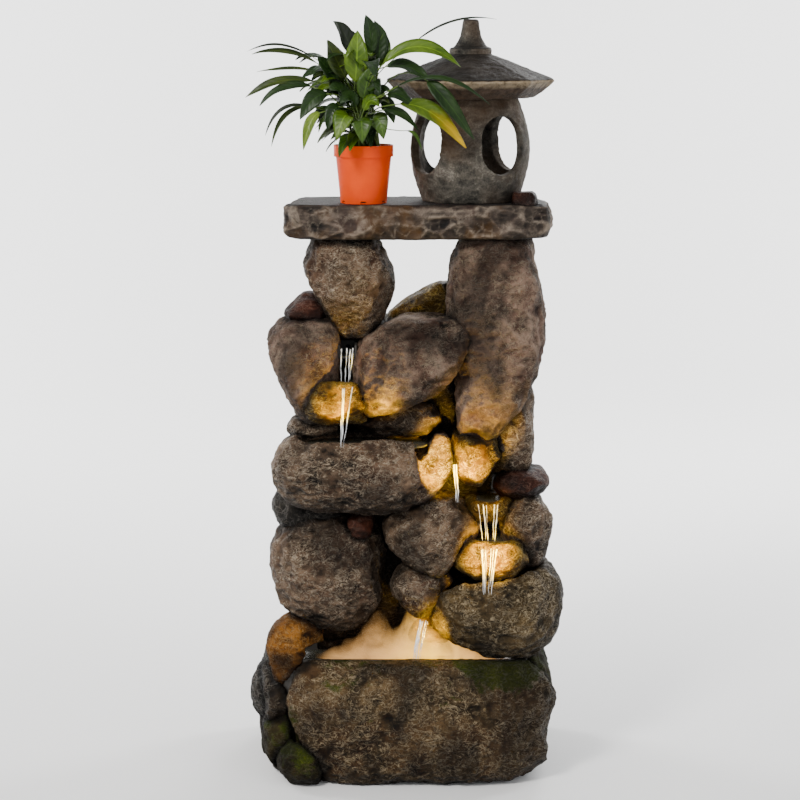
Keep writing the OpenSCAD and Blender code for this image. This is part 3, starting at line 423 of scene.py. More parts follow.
def add_object(name, mesh, material, body, smooth=True):
    """Links a piece, gives it its material, and makes it ride on its body. Water has no slot in the record."""
    obj = bpy.data.objects.new(name, mesh)
    bpy.context.collection.objects.link(obj)
    if material:
        mesh.materials.clear()
        mesh.materials.append(material)
    mesh.polygons.foreach_set("use_smooth", [smooth] * len(mesh.polygons))
    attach(obj, body)
    return obj


def mesh_from(name, points, faces):
    mesh = bpy.data.meshes.new(name)
    mesh.from_pydata([tuple(p) for p in points], [], faces)
    mesh.update()
    return mesh


def remeshed(source, voxel, smooth_steps):
    """A copy of a CAD node's mesh as an even, slightly rounded skin."""
    temp = bpy.data.objects.new("temp", source.data.copy())
    bpy.context.collection.objects.link(temp)
    remesh = temp.modifiers.new("remesh", "REMESH")
    remesh.mode = "VOXEL"
    remesh.voxel_size = voxel
    if smooth_steps:
        rounder = temp.modifiers.new("smooth", "SMOOTH")
        rounder.factor = 0.5
        rounder.iterations = smooth_steps
    graph = bpy.context.evaluated_depsgraph_get()
    mesh = bpy.data.meshes.new_from_object(temp.evaluated_get(graph), depsgraph=graph)
    bpy.data.objects.remove(temp)
    return mesh


def store(mesh, name, values):
    layer = mesh.attributes.new(name, "FLOAT", "POINT")
    layer.data.foreach_set("value", values)


def rough_point(p, offset):
    """Height of the weathered surface at p, about -1 to 1: lumps, ridged facets, grooves and grit."""
    q = p + offset
    lump = noise.noise(q * 15)
    facet = 0.55 - abs(noise.noise(q * 34)) * 2.1
    turned = Vector((q.x * 60 + q.z * 26, q.y * 60 - q.z * 20, q.z * 95 - q.x * 30))
    groove = 0.5 - abs(noise.noise(turned)) * 2.0
    grit = noise.noise(q * 150)
    return lump, facet, groove, grit


def weather(mesh, seed, lump_mm, facet_mm, groove_mm, grit_mm, keep_top=None):
    """Moves every point along its normal by the rough surface, and stores the relief for the colours.
    Points above keep_top stay level, where something stands on the rock."""
    offset = Vector((3.7 * seed, 1.3 * seed, 2.9 * seed))
    normals = [v.normal.copy() for v in mesh.vertices]
    relief = []
    for v, n in zip(mesh.vertices, normals):
        lump, facet, groove, grit = rough_point(v.co, offset)
        shift = (lump * lump_mm + facet * facet_mm + groove * groove_mm + grit * grit_mm) * MM
        if keep_top is not None and v.co.z > keep_top:
            shift *= 0.15
        v.co += n * shift
        relief.append(0.5 + 0.16 * lump + 0.26 * facet + 0.24 * groove + 0.12 * grit)
    store(mesh, "relief", relief)
    mesh.update()


def chisel(mesh, seed, flats, depth):
    """Dresses a rounded rock with shallow flats at random angles, as broken stone has."""
    rng = random.Random(seed)
    co = np.empty(len(mesh.vertices) * 3, np.float32)
    mesh.vertices.foreach_get("co", co)
    co = co.reshape(-1, 3)
    centre = (co.min(0) + co.max(0)) / 2
    for _ in range(flats):
        turn, rise = rng.uniform(0, 2 * math.pi), rng.uniform(-0.7, 0.7)
        level = math.sqrt(1 - rise * rise)
        n = np.array((level * math.cos(turn), level * math.sin(turn), rise), np.float32)
        reach = (co - centre) @ n
        over = np.maximum(reach - (reach.max() - depth * rng.uniform(0.4, 1)), 0) * 0.92
        co -= over[:, None] * n
    mesh.vertices.foreach_set("co", co.ravel())
    mesh.update()


def moss_share(p):
    """Moss on the boulder: thick on its right shoulder, less along its foot on the left."""
    shoulder = 1 - math.hypot((p.x / MM - 160) / 90, (p.z / MM - 190) / 60)
    foot = 1 - math.hypot((p.x / MM + 175) / 45, (p.z / MM - 60) / 80)
    return max(0.0, min(1.0, 1.6 * shoulder), min(0.6, foot))


def level_off(mesh, top):
    """Flattens what stands above a level, so that a rim behind it shows."""
    for v in mesh.vertices:
        if v.co.z > top:
            v.co.z = top + 0.3 * (v.co.z - top)
    mesh.update()


def swell(mesh, distance):
    """Moves every point out along its normal, to give back what smoothing and dressing took."""
    for v, n in zip(mesh.vertices, [v.normal.copy() for v in mesh.vertices]):
        v.co += n * distance
    mesh.update()


def bezier(points, t):
    """Point on the cubic through its four handles."""
    a, b, c, d = points
    u = 1 - t
    return a * (u ** 3) + b * (3 * u * u * t) + c * (3 * u * t * t) + d * (t ** 3)


def tube(path, radii, sides=8, flat=1.0):
    """Points and faces of a closed tube along a path; flat squeezes it across the view."""
    points, faces = [], []
    for i, p in enumerate(path):
        ahead = path[min(i + 1, len(path) - 1)] - path[max(i - 1, 0)]
        ahead = ahead.normalized() if ahead.length > 1e-9 else Vector((0, 0, -1))
        side = ahead.cross(Vector((0, 1, 0.02))).normalized()
        out = side.cross(ahead).normalized()
        for k in range(sides):
            a = 2 * math.pi * k / sides
            points.append(p + side * (math.cos(a) * radii[i]) + out * (math.sin(a) * radii[i] * flat))
    for i in range(len(path) - 1):
        for k in range(sides):
            a, b = i * sides + k, i * sides + (k + 1) % sides
            faces.append((a, b, b + sides, a + sides))
    faces.append(tuple(range(sides))[::-1])
    faces.append(tuple((len(path) - 1) * sides + k for k in range(sides)))
    return points, faces


def joined(parts):
    """One list of points and faces from several."""
    points, faces = [], []
    for more_points, more_faces in parts:
        start = len(points)
        points += more_points
        faces += [tuple(start + i for i in f) for f in more_faces]
    return points, faces


# ---- Rocks ----------------------------------------------------------------------------------------

DARK = (0.0016, 0.0011, 0.0007)
BROWN = (0.0600, 0.0380, 0.0235)
LIGHT = (0.32, 0.250, 0.170)
RED = (0.050, 0.0135, 0.0055)
OLIVE = (0.045, 0.026, 0.0036)


def make_rock_materials():
    return {
        "rock": stone_material("rock", DARK, BROWN, LIGHT, RED, 0.5),
        "rock_upper": stone_material("rock_upper", (0.0035, 0.0026, 0.0019), (0.090, 0.0610, 0.0445),
                                     (0.24, 0.18, 0.115), (0.120, 0.048, 0.030), 0.75, wet=0.15, crinkle=0.8),
        "boulder": stone_material("boulder", DARK, (0.0360, 0.0220, 0.0092), (0.27, 0.200, 0.110), (0.054, 0.0185, 0.0055),
                                  0.6, moss=0.16, moss_top=0.7),
        "bowl": stone_material("bowl", DARK, (0.0430, 0.0280, 0.0120), (0.30, 0.230, 0.130), OLIVE,
                               0.6, moss=0.10, moss_top=0.25),
        "rock_moss": stone_material("rock_moss", DARK, (0.0110, 0.0082, 0.0024), (0.07, 0.055, 0.022),
                                    (0.022, 0.012, 0.0018), 0.6, moss=0.74, moss_top=0.5, wet=0.1, crinkle=0.5),
        "rock_dark": stone_material("rock_dark", (0.0014, 0.0013, 0.0011), (0.0130, 0.0108, 0.0086),
                                    (0.13, 0.110, 0.085), (0.011, 0.007, 0.0045), 0.3, moss=0.1, moss_top=0.2),
        "rock_orange": stone_material("rock_orange", (0.006, 0.0020, 0.0004), (0.110, 0.042, 0.0055),
                                      (0.30, 0.165, 0.045), (0.155, 0.047, 0.0040), 0.7, moss=0.42, moss_top=-0.6,
                                      wet=0.1, crinkle=0.8),
        "rock_red": stone_material("rock_red", (0.0020, 0.0007, 0.0005), (0.0230, 0.0072, 0.0040),
                                   (0.13, 0.060, 0.036), (0.044, 0.0105, 0.0035), 0.6, wet=0.35, crinkle=0.5),
        # Painted light: a golden colour for the stones that the lamps light, standing for their warm glow.
        "rock_tan": stone_material("rock_tan", (0.0045, 0.0024, 0.0006), (0.085, 0.046, 0.0035),
                                   (0.36, 0.24, 0.030), (0.090, 0.036, 0.0025), 0.5, wet=0.4),
        # Painted shade: a darker copy of rock, with a little moss, for the rear stones, the column core and the rear
        # panel.
        "rock_back": stone_material("rock_back", DARK, (0.0125, 0.0080, 0.0045), (0.10, 0.078, 0.048),
                                    (0.020, 0.010, 0.005), 0.3, moss=0.08, moss_top=0.3),
    }


# Node: finish, roughness share
ROCK_LOOK = {
    "front_boulder": ("boulder", 1.3), "base_corner_stone": ("rock_moss", 1.0), "base_moss_stone": ("rock_moss", 1.1),
    "base_dark_stone": ("rock_dark", 1.3), "base_orange_stone": ("rock_orange", 0.9),
    "base_right_stone": ("rock_moss", 1.2), "base_left_rear_stone": ("rock_back", 1.2),
    "base_right_rear_stone": ("rock_back", 1.2), "base_rear_stone": ("rock_back", 1.2),
    "lower_left_boulder": ("rock", 1.25), "lower_right_bowl": ("bowl", 1.0), "centre_stone": ("rock", 0.8),
    "splash_stone": ("rock_tan", 1.0), "wedge_stone": ("rock_dark", 1.0), "small_stone": ("rock_red", 0.7),
    "middle_bowl": ("rock", 1.2), "mid_left_stone": ("rock", 1.0), "mid_right_stone": ("rock", 1.0),
    "mid_spill_stone": ("rock_tan", 1.0), "mid_ledge_stone": ("rock_tan", 0.8),
    "upper_right_stone": ("rock_upper", 1.0), "upper_left_stone": ("rock_upper", 1.0), "upper_spill_stone": ("rock_tan", 1.0),
    "right_pillar": ("rock_upper", 1.1), "pillar_foot": ("rock_tan", 1.1), "red_stone_right": ("rock_red", 0.8),
    "pillar_rear": ("rock", 1.1), "ledge_stone_left": ("rock", 0.8), "ledge_stone_right": ("rock", 0.8),
    "left_pillar": ("rock", 1.0), "red_stone_left": ("rock_red", 0.8), "ridge_stone": ("rock_tan", 0.9),
    "column_core": ("rock_back", 1.2), "rear_panel": ("rock_back", 1.2), "slab_chip": ("rock_red", 0.4),
}


def gap_shares(mesh, tree, reach):
    """How deep each point lies in the gaps between the rocks, for the painted shade: 1 against a neighbour, 0 from
    reach away.
    """
    shares = []
    for v in mesh.vertices:
        hit = tree.find_nearest(v.co, reach)[3]
        near = 0.0 if hit is None else 1 - hit / reach
        shares.append(near * near * (3 - 2 * near))
    return shares


def neighbours_tree(node, nodes, reach):
    """The CAD surfaces of the nodes whose boxes come near this one's."""
    low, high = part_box(node)
    points, faces = [], []
    for other in nodes:
        other_low, other_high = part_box(other)
        apart = max(max(other_low[i] - high[i], low[i] - other_high[i]) for i in range(3))
        if other == node or apart > reach:
            continue
        mesh = frame["nodes"][other].data
        start = len(points)
        points += [v.co.copy() for v in mesh.vertices]
        faces += [[start + i for i in f.vertices] for f in mesh.polygons]
    return BVHTree.FromPolygons(points, faces)


def make_rocks(finishes):
    voxel = 2.7 * MM
    reach = 20 * MM
    solid = list(ROCK_LOOK) + ["basin_shell", "slab"]
    for seed, (node, (finish, share)) in enumerate(ROCK_LOOK.items(), start=1):
        small = 0.5 if node == "slab_chip" else 1.0
        mesh = remeshed(frame["nodes"][node], voxel * small, int(7 * small))
        size = min(high - low for low, high in zip(*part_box(node)))
        if node not in ("column_core", "rear_panel"):
            chisel(mesh, 900 + seed, 20, min(8 * MM, 0.09 * size))
            swell(mesh, 2.3 * MM * small)
        # Painted shade: darker where the rock lies against a neighbour, and on the front boulder over its right end as
        # well.
        shares = gap_shares(mesh, neighbours_tree(node, solid, reach), reach)
        if node == "front_boulder":
            shares = [max(g, min(0.75, (v.co.x / MM - 112) / 62)) for g, v in zip(shares, mesh.vertices)]
        store(mesh, "gap", shares)
        weather(mesh, seed, 4.0 * share, 2.3 * share, 1.5 * share, 0.5 * share)
        if node == "front_boulder":
            level_off(mesh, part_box("basin_shell")[1].z - 1 * MM)
            store(mesh, "mossy", [moss_share(v.co) for v in mesh.vertices])
        obj = add_object("rock_" + node, mesh, finishes[finish], BODY_OF[node])
        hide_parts(node)


def make_slab():
    """Slate: knapped hollows with sharp rims round the edge, a nearly level top."""
    mesh = remeshed(frame["nodes"]["slab"], (2.2) * MM, 3)
    relief, edge = [], []
    normals = [v.normal.copy() for v in mesh.vertices]
    for v, n in zip(mesh.vertices, normals):
        p = v.co
        side = 1 - min(1, abs(n.z) * 1.05) ** 2
        bend = noise.noise_vector(p * 24) * 0.010
        near, next_near = noise.voronoi(Vector((p.x + bend.x, p.y + bend.y, 1.6 * (p.z + bend.z))) * 26)[0][:2]
        rim = max(0.0, 1 - (next_near - near) * 3.6)
        bowl = 0.45 - near
        small = noise.voronoi((p + bend) * 70)[0]
        small_rim = max(0.0, 1 - (small[1] - small[0]) * 4)
        chip = noise.noise(Vector((p.x * 26 + 5, p.y * 26, p.z * 34)))
        crack = 0.5 - abs(noise.noise(Vector((p.x * 60, p.y * 60, p.z * 90)))) * 2
        flat = (chip * 1.4 + crack * 0.5) * (0.25 if n.z > 0.8 else 0.7)
        cut = -7.0 * bowl + 2.2 * rim + 1.0 * small_rim + chip * 1.5 + crack * 0.7
        v.co += n * (cut * side + flat * (1 - side)) * MM
        relief.append(0.42 + (0.34 * rim - 0.35 * bowl + 0.12 * small_rim) * side + 0.12 * chip + 0.16 * crack)
        edge.append(min(1.0, (rim ** 2 + 0.5 * small_rim ** 3) * side * 1.3))
    store(mesh, "relief", relief)
    store(mesh, "edge", edge)
    mesh.update()
    obj = add_object("slab_slate", mesh, slate_material("slate"), "root")
    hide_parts("slab")


def make_lantern():
    """House and roof as coarse cast stone."""
    voxel = 1.6 * MM
    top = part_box("lantern_house")[1].z
    looks = {
        "lantern_house": lantern_material("lantern_house_stone"),
        "lantern_roof": lantern_material("lantern_roof_stone", top, top + 17 * MM, top + 29 * MM),
    }
    for seed, (node, material) in enumerate(looks.items(), start=61):
        mesh = remeshed(frame["nodes"][node], voxel, 1)
        weather(mesh, seed, 0.8, 0.6, 0.5, 0.4)
        obj = add_object(node + "_stone", mesh, material, BODY_OF[node])
        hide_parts(node)


# ---- Plant -------------------------------------------------------------------------------------------

LEAF_STEPS = 16
LEAF_ACROSS = 6


def leaf(path, width, fold, wave, seed, face=0.0, thickness=0.45 * MM):
    """A blade along a path: points, faces and its (across, along) coordinates. The blade is folded along
    its midrib, waved at its edges, turned towards the front by face, and closed with an underside."""
    rng = random.Random(seed)
    phase = rng.uniform(0, 6)
    rows = []
    for i in range(LEAF_STEPS + 1):
        s = i / LEAF_STEPS
        p = bezier(path, s)
        ahead = (bezier(path, min(1, s + 0.02)) - bezier(path, max(0, s - 0.02))).normalized()
        side = ahead.cross(Vector((0, -face, 1)))
        side = side.normalized() if side.length > 0.05 else Vector((1, 0, 0))
        up = side.cross(ahead).normalized()
        spin = Matrix.Rotation(wave * math.sin(phase + 2.2 * s), 3, ahead)
        side, up = spin @ side, spin @ up
        half = width * 0.5 * max(0.02, math.sin(math.pi * min(1, s ** 0.78 * 0.985 + 0.01)) ** 0.85)
        rows.append([])
        for j in range(LEAF_ACROSS + 1):
            a = 2 * j / LEAF_ACROSS - 1
            lift = fold * abs(a) ** 1.3 * half + 0.05 * width * math.sin(9 * s + phase + (0 if a > 0 else 1.4)) * a * a
            rows[-1].append((p + side * (a * half) + up * lift, up, abs(a), s))
    points, coords, faces = [], [], []
    columns = LEAF_ACROSS + 1
    for layer in (0, 1):
        for row in rows:
            for point, up, a, s in row:
                edge = 1 - 0.7 * a
                points.append(point - up * (thickness * layer * edge))
                coords.append((a, s))
    size = len(rows) * columns
    for layer in (0, 1):
        for i in range(LEAF_STEPS):
            for j in range(LEAF_ACROSS):
                a = layer * size + i * columns + j
                quad = (a, a + 1, a + columns + 1, a + columns)
                faces.append(quad if layer == 0 else quad[::-1])
    rim = [i * columns for i in range(LEAF_STEPS + 1)]
    rim += [LEAF_STEPS * columns + j for j in range(1, columns)]
    rim += [i * columns + columns - 1 for i in range(LEAF_STEPS - 1, -1, -1)]
    rim += [j for j in range(columns - 2, 0, -1)]
    for k, a in enumerate(rim):
        b = rim[(k + 1) % len(rim)]
        faces.append((a, b, b + size, a + size))
    return points, faces, coords


def stem_for(root, base, ahead, radius):
    """A stem from the soil that runs into a blade's base."""
    span = (base - root).length
    path = [root, root + Vector((0, 0, 0.45 * span)), base - ahead * (0.35 * span), base + ahead * (2 * MM)]
    steps = 10
    line = [bezier(path, i / steps) for i in range(steps + 1)]
    return tube(line, [radius * (1 - 0.45 * i / steps) for i in range(steps + 1)], 6)


def blade_path(base, middle, tip):
    """Four handles of a blade that leaves base towards middle and droops to its tip."""
    return [base, base.lerp(middle, 0.75), middle.lerp(tip, 0.35), tip]


# Finish, blade's base, middle and tip in mm from the pot's centre at soil level, blade width
HAND_LEAVES = [
    ("dusk", (-76, -26, 144), (-127, -32, 174), (-172, -36, 151), 5),
    ("olive", (-67, -20, 133), (-118, -24, 162), (-165, -26, 147), 11),
    ("olive", (-66, -8, 121), (-109, -8, 130), (-159, -10, 121), 9),
    ("olive", (-76, -30, 108), (-128, -34, 117), (-175, -36, 84), 17),
    ("dark", (-76, -38, 100), (-123, -44, 110), (-153, -48, 72), 16),
    ("dark", (-53, -36, 124), (-71, -44, 130), (-90, -50, 112), 20),
    ("dusk", (-76, -52, 71), (-127, -60, 84), (-144, -62, 29), 7),
    ("olive", (-81, -44, 71), (-124, -50, 71), (-136, -50, 12), 8),
    ("dark", (-52, -56, 90), (-75, -66, 90), (-92, -72, 53), 26),
    ("lime", (-63, -72, 63), (-79, -82, 58), (-87, -84, 9), 17),
    ("mid", (-49, -64, 61), (-61, -68, 57), (-65, -70, 34), 7),
    ("dusk", (-15, -26, 144), (-25, -30, 183), (-44, -38, 196), 24),
    ("dark", (-12, -20, 139), (-17, -20, 173), (-34, -20, 187), 26),
    ("dark", (14, -24, 148), (12, -26, 183), (4, -30, 205), 22),
    ("dark", (23, -20, 136), (28, -20, 170), (17, -22, 197), 26),
    ("mid", (25, -16, 129), (34, -18, 158), (31, -20, 179), 22),
    ("bright", (-11, -66, 107), (-7, -76, 144), (-7, -72, 182), 36),
    ("olive", (-25, -48, 112), (-41, -56, 144), (-52, -56, 168), 30),
    ("dark", (-34, -44, 100), (-56, -52, 134), (-67, -56, 144), 24),
    ("bright", (32, -110, 136), (81, -114, 183), (143, -118, 130), 25),
    ("dusk", (78, -106, 167), (132, -110, 209), (194, -116, 198), 5),
    ("dark", (50, -112, 102), (115, -118, 137), (186, -124, 76), 11),
    ("yellow", (54, -110, 77), (98, -120, 82), (151, -130, 15), 31),
    ("dark", (94, -112, 111), (118, -120, 92), (162, -128, 27), 24),
    ("dark", (36, -98, 131), (67, -106, 138), (97, -110, 112), 26),
    ("dark", (36, -100, 91), (50, -108, 97), (76, -112, 74), 24),
    ("dark", (31, -92, 68), (53, -100, 73), (82, -106, 39), 16),
    ("mid", (65, -100, 38), (79, -106, 39), (87, -108, 10), 6),
    ("bright", (-19, -72, 57), (-28, -84, 68), (-38, -90, 23), 32),
    ("mid", (-3, -78, 48), (-1, -90, 63), (0, -94, 19), 32),
    ("mid", (16, -72, 52), (26, -82, 63), (31, -84, 25), 28),
    ("dark", (-34, -60, 71), (-46, -68, 72), (-52, -72, 37), 24),
    ("dark", (26, -72, 77), (39, -80, 82), (46, -82, 48), 22),
    ("dark", (-18, -70, 77), (-33, -82, 106), (-48, -86, 97), 30),
    ("mid", (1, -72, 82), (6, -84, 111), (16, -82, 130), 28),
    ("dark", (-9, -78, 72), (-18, -90, 97), (-32, -96, 78), 30),
    ("dark", (13, -76, 72), (28, -86, 101), (41, -90, 97), 24),
    ("bright", (2, -80, 67), (11, -92, 91), (25, -98, 73), 22),
]

# dark, mid and bright are one green at three levels: on the listed leaves they paint the light and shade that each leaf
# shows, on the filling leaves they are picked at random. dusk is a dim grey copy, painted shade; olive, lime and yellow
# are the leaves' own hues.
LEAF_FINISH = {
    "dark": ((0.0045, 0.0140, 0.0022), (0.0130, 0.0330, 0.0045), None),
    "dusk": ((0.0050, 0.0075, 0.0040), (0.0130, 0.0190, 0.0070), None),
    "olive": ((0.0120, 0.0230, 0.0025), (0.0380, 0.0560, 0.0060), None),
    "mid": ((0.0140, 0.0360, 0.0030), (0.0420, 0.0850, 0.0070), None),
    "bright": ((0.0340, 0.0720, 0.0030), (0.0850, 0.1450, 0.0080), None),
    "lime": ((0.060, 0.105, 0.008), (0.130, 0.190, 0.020), None),
    "yellow": ((0.0350, 0.0700, 0.0040), (0.0800, 0.1250, 0.0080), (0.50, 0.30, 0.003)),
}
CROWN_LEAVES = 74
LOW_LEAVES = 46


def make_plant():
    """Listed leaves where they show against the light, and filling leaves in the crown and over the rim."""
    pot_low, pot_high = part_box("plant_pot")
    soil_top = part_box("potting_soil")[1].z
    centre = Vector(((pot_low.x + pot_high.x) / 2, (pot_low.y + pot_high.y) / 2, soil_top))
    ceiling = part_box("plant_foliage")[1].z - 8 * MM
    lantern_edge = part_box("lantern_roof")[0].x - 8 * MM
    rng = random.Random(11)
    leaves = {name: [] for name in LEAF_FINISH}
    stems = []

    def add(finish, base, middle, tip, width, fold, face):
        path = blade_path(base, middle, tip)
        leaves[finish].append(leaf(path, width, fold, rng.uniform(-0.35, 0.35), rng.randrange(10 ** 6), face))
        a, r = rng.uniform(0, 2 * math.pi), 24 * MM * math.sqrt(rng.random())
        root = centre + Vector((r * math.cos(a), r * math.sin(a), -3 * MM))
        stems.append(stem_for(root, base, (path[1] - base).normalized(), min(1.5 * MM, 0.09 * width + 0.5 * MM)))

    for finish, base, middle, tip, width in HAND_LEAVES:
        points = [centre + Vector(p) * MM for p in (base, middle, tip)]
        add(finish, *points, width * MM, rng.uniform(0.1, 0.3), 1.1)

    for i in range(CROWN_LEAVES + LOW_LEAVES):
        turn = 2 * math.pi * (i * 0.618 % 1)
        out = Vector((math.cos(turn), math.sin(turn), 0))
        if i < CROWN_LEAVES:
            height, lean, length = rng.uniform(62, 140), rng.uniform(14, 44), rng.uniform(60, 92)
            rise = rng.uniform(0.1, 0.75)
        else:
            height, lean, length = rng.uniform(22, 66), rng.uniform(10, 34), rng.uniform(46, 72)
            rise = rng.uniform(-0.35, 0.35)
        base = centre + (out * lean + Vector((0, 0, height))) * MM
        ahead = (out * math.sqrt(1 - rise * rise) + Vector((0, 0, rise)))
        middle = base + (ahead * (0.5 * length) + Vector((0, 0, 0.12 * length))) * MM
        tip = base + (ahead * (0.86 * length) - Vector((0, 0, 0.28 * length))) * MM
        for p in (base, middle, tip):
            p.z = min(p.z, ceiling)
            if p.y > -0.14:
                p.x = min(p.x, lantern_edge - 14 * MM)
        finish = rng.choice(["dark", "dark", "dark", "mid", "olive", "bright"])
        add(finish, base, middle, tip, rng.uniform(15, 27) * MM, rng.uniform(0.1, 0.35), 0.35)

    for name, (dark, light, tip) in LEAF_FINISH.items():
        points, faces = joined([(p, f) for p, f, _ in leaves[name]])
        mesh = mesh_from("leaves_" + name, points, faces)
        coords = [c for _, _, more in leaves[name] for c in more]
        store(mesh, "across", [c[0] for c in coords])
        store(mesh, "along", [c[1] for c in coords])
        obj = add_object("leaves_" + name, mesh, leaf_material("leaf_" + name, dark, light, tip), "plant")
        if name == "dark":
            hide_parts("plant_foliage")
    points, faces = joined(stems)
    add_object("leaf_stems", mesh_from("leaf_stems", points, faces), stem_material(), "plant")


# ---- Water and mist -----------------------------------------------------------------------------------

def pool(name, centre, half, level, material, thick=2.0):
    """A thin body of water with an uneven outline and small ripples."""
    rings, around = 10, 40
    points, faces = [], []
    for layer in (0, 1):
        for i in range(rings + 1):
            for k in range(around):
                a = 2 * math.pi * k / around
                r = i / rings
                x = centre[0] + half[0] * r * math.copysign(abs(math.cos(a)) ** 0.75, math.cos(a))
                y = centre[1] + half[1] * r * math.copysign(abs(math.sin(a)) ** 0.75, math.sin(a))
                z = level - layer * thick + (0.5 * noise.noise(Vector((x, y, 0)) * 0.06) if layer == 0 else 0)
                points.append(Vector((x, y, z)) * MM)
    size = (rings + 1) * around
    for layer in (0, 1):
        for i in range(rings):
            for k in range(around):
                a = layer * size + i * around + k
                b = layer * size + i * around + (k + 1) % around
                quad = (a, a + around, b + around, b)
                faces.append(quad if layer == 0 else quad[::-1])
    for k in range(around):
        a = rings * around + k
        b = rings * around + (k + 1) % around
        faces.append((a, a + size, b + size, b))
    mesh = mesh_from(name, points, faces)
    grid = bmesh.new()
    grid.from_mesh(mesh)
    bmesh.ops.remove_doubles(grid, verts=grid.verts, dist=1e-6)
    grid.to_mesh(mesh)
    grid.free()
    return add_object(name, mesh, material, "root")


def stream(name, top, foot, width_top, width_foot, strands, material, seed, throw=10):
    """Falling water: uneven strands that start side by side, fall in an arc to the front, waver and merge."""
    rng = random.Random(seed)
    parts = []
    for k in range(strands):
        share = (k + 0.5) / strands - 0.5 + rng.uniform(-0.20, 0.20)
        steps = 26
        line, radii = [], []
        thick = rng.uniform(0.4, 0.95)
        lag, phase = rng.uniform(-0.1, 0.1), rng.uniform(0, 6)
        start, end = rng.uniform(0, 0.05), rng.uniform(0.78, 1.0) if k % 2 else 1.0
        for i in range(steps + 1):
            t = start + (end - start) * i / steps
            width = width_top + (width_foot - width_top) * t
            x = top[0] + (foot[0] - top[0]) * t + share * width + (0.9 * math.sin(6 * t + phase) + 0.4 * math.sin(19 * t)) * t
            y = top[1] + (foot[1] - top[1]) * min(1, math.sqrt(t) * (1 + lag)) - throw * t * (1 - t) * 0.6
            z = top[2] + (foot[2] - top[2]) * t ** 1.15
            line.append(Vector((x, y, z)) * MM)
            taper = min(1, 5 * (1 - i / steps) + 0.25)
            radii.append(thick * (1.15 - 0.3 * t + 0.35 * math.sin(15 * t + phase) * math.sin(7 * t + k)) * taper * MM)
        parts.append(tube(line, radii, 8))
    points, faces = joined(parts)
    return add_object(name, mesh_from(name, points, faces), material, "root")


def mist(name, centre, half, height, bow, material, seed, strength, hot_x):
    """A bank of mist as a thin billowing curtain, bowed towards the front, that thins out upwards and at
    its ends; hot_x is where the lamp warms it."""
    nx, nz = 70, 18
    points, density, lamp_glow, faces = [], [], [], []
    for j in range(nz + 1):
        for i in range(nx + 1):
            u, v = 2 * i / nx - 1, j / nz
            wave = noise.fractal(Vector((u * 2.2 + seed, v * 1.3, seed)), 1.0, 2.0, 4)
            top = height * max(0.12, (1 - u * u) ** 0.7 * (0.75 + 0.55 * noise.noise(Vector((u * 3.4, seed * 3.1, 0)))))
            x = centre[0] + u * half[0]
            y = centre[1] - bow * (1 - u * u) + half[1] * (0.6 * wave + 0.5 * v)
            points.append(Vector((x, y, centre[2] + top * v)) * MM)
            end = min(1, 3.2 * (1 - abs(u)))
            density.append(strength * end * (1 - v) ** 0.8)
            lamp_glow.append(max(0.0, 1 - abs(x - hot_x) / 95) ** 1.2 * (1 - 0.5 * v))
    for j in range(nz):
        for i in range(nx):
            a = j * (nx + 1) + i
            faces.append((a, a + 1, a + nx + 2, a + nx + 1))
    mesh = mesh_from(name, points, faces)
    store(mesh, "bank_thickness", density)
    store(mesh, "lamp_share", lamp_glow)
    return add_object(name, mesh, material, "root")


def make_water():
    still = water_material("pool_water", (0.10, 0.095, 0.07), 0.72)
    # Streams glow by emission: painted light of the lamps below, stronger in the warm ones.
    cool = stream_material("stream_cool", 0.10)
    warm = stream_material("stream_warm", 0.22)
    pool("water_basin", (0, -70), (192, 52), 172, still)
    pool("water_lower_right", (150, -72), (66, 44), 294, still)
    pool("water_mid_spill", (141, -72), (28, 40), 361, still)
    pool("water_mid_ledge", (137, -58), (19, 31), 424.5, still)
    pool("water_middle", (-50, -78), (92, 44), 516, still)
    pool("water_upper", (-84, -68), (22, 36), 610, still)
    stream("stream_spout", (-77, -88, 664), (-80, -100, 611), 22, 17, 4, cool, 1)
    stream("stream_upper", (-80, -130, 612), (-87, -138, 521), 24, 7, 5, cool, 2, throw=14)
    stream("stream_middle", (83, -122, 492), (87, -118, 432), 6, 4, 3, warm, 3)
    stream("stream_ledge", (134, -104, 426), (136, -112, 366), 30, 18, 5, cool, 4)
    stream("stream_mid_spill", (133, -142, 366), (132, -148, 296), 26, 12, 8, warm, 5)
    stream("stream_basin", (36, -114, 246), (22, -122, 173), 15, 12, 7, warm, 6)
    bank = mist_material()
    for k, (y, half_x, height, bow, strength) in enumerate(
            [(-66, 105, 92, 16, 0.75), (-78, 135, 70, 20, 0.75), (-90, 150, 54, 20, 0.80), (-100, 150, 42, 18, 0.90)]):
        mist(f"mist_bank_{k + 1}", (8 + 5 * k, y, 178), (half_x, 9), height, bow, bank, 1.7 * k, strength, 45)


# ---- CAD nodes that show as they are ------------------------------------------------------------------

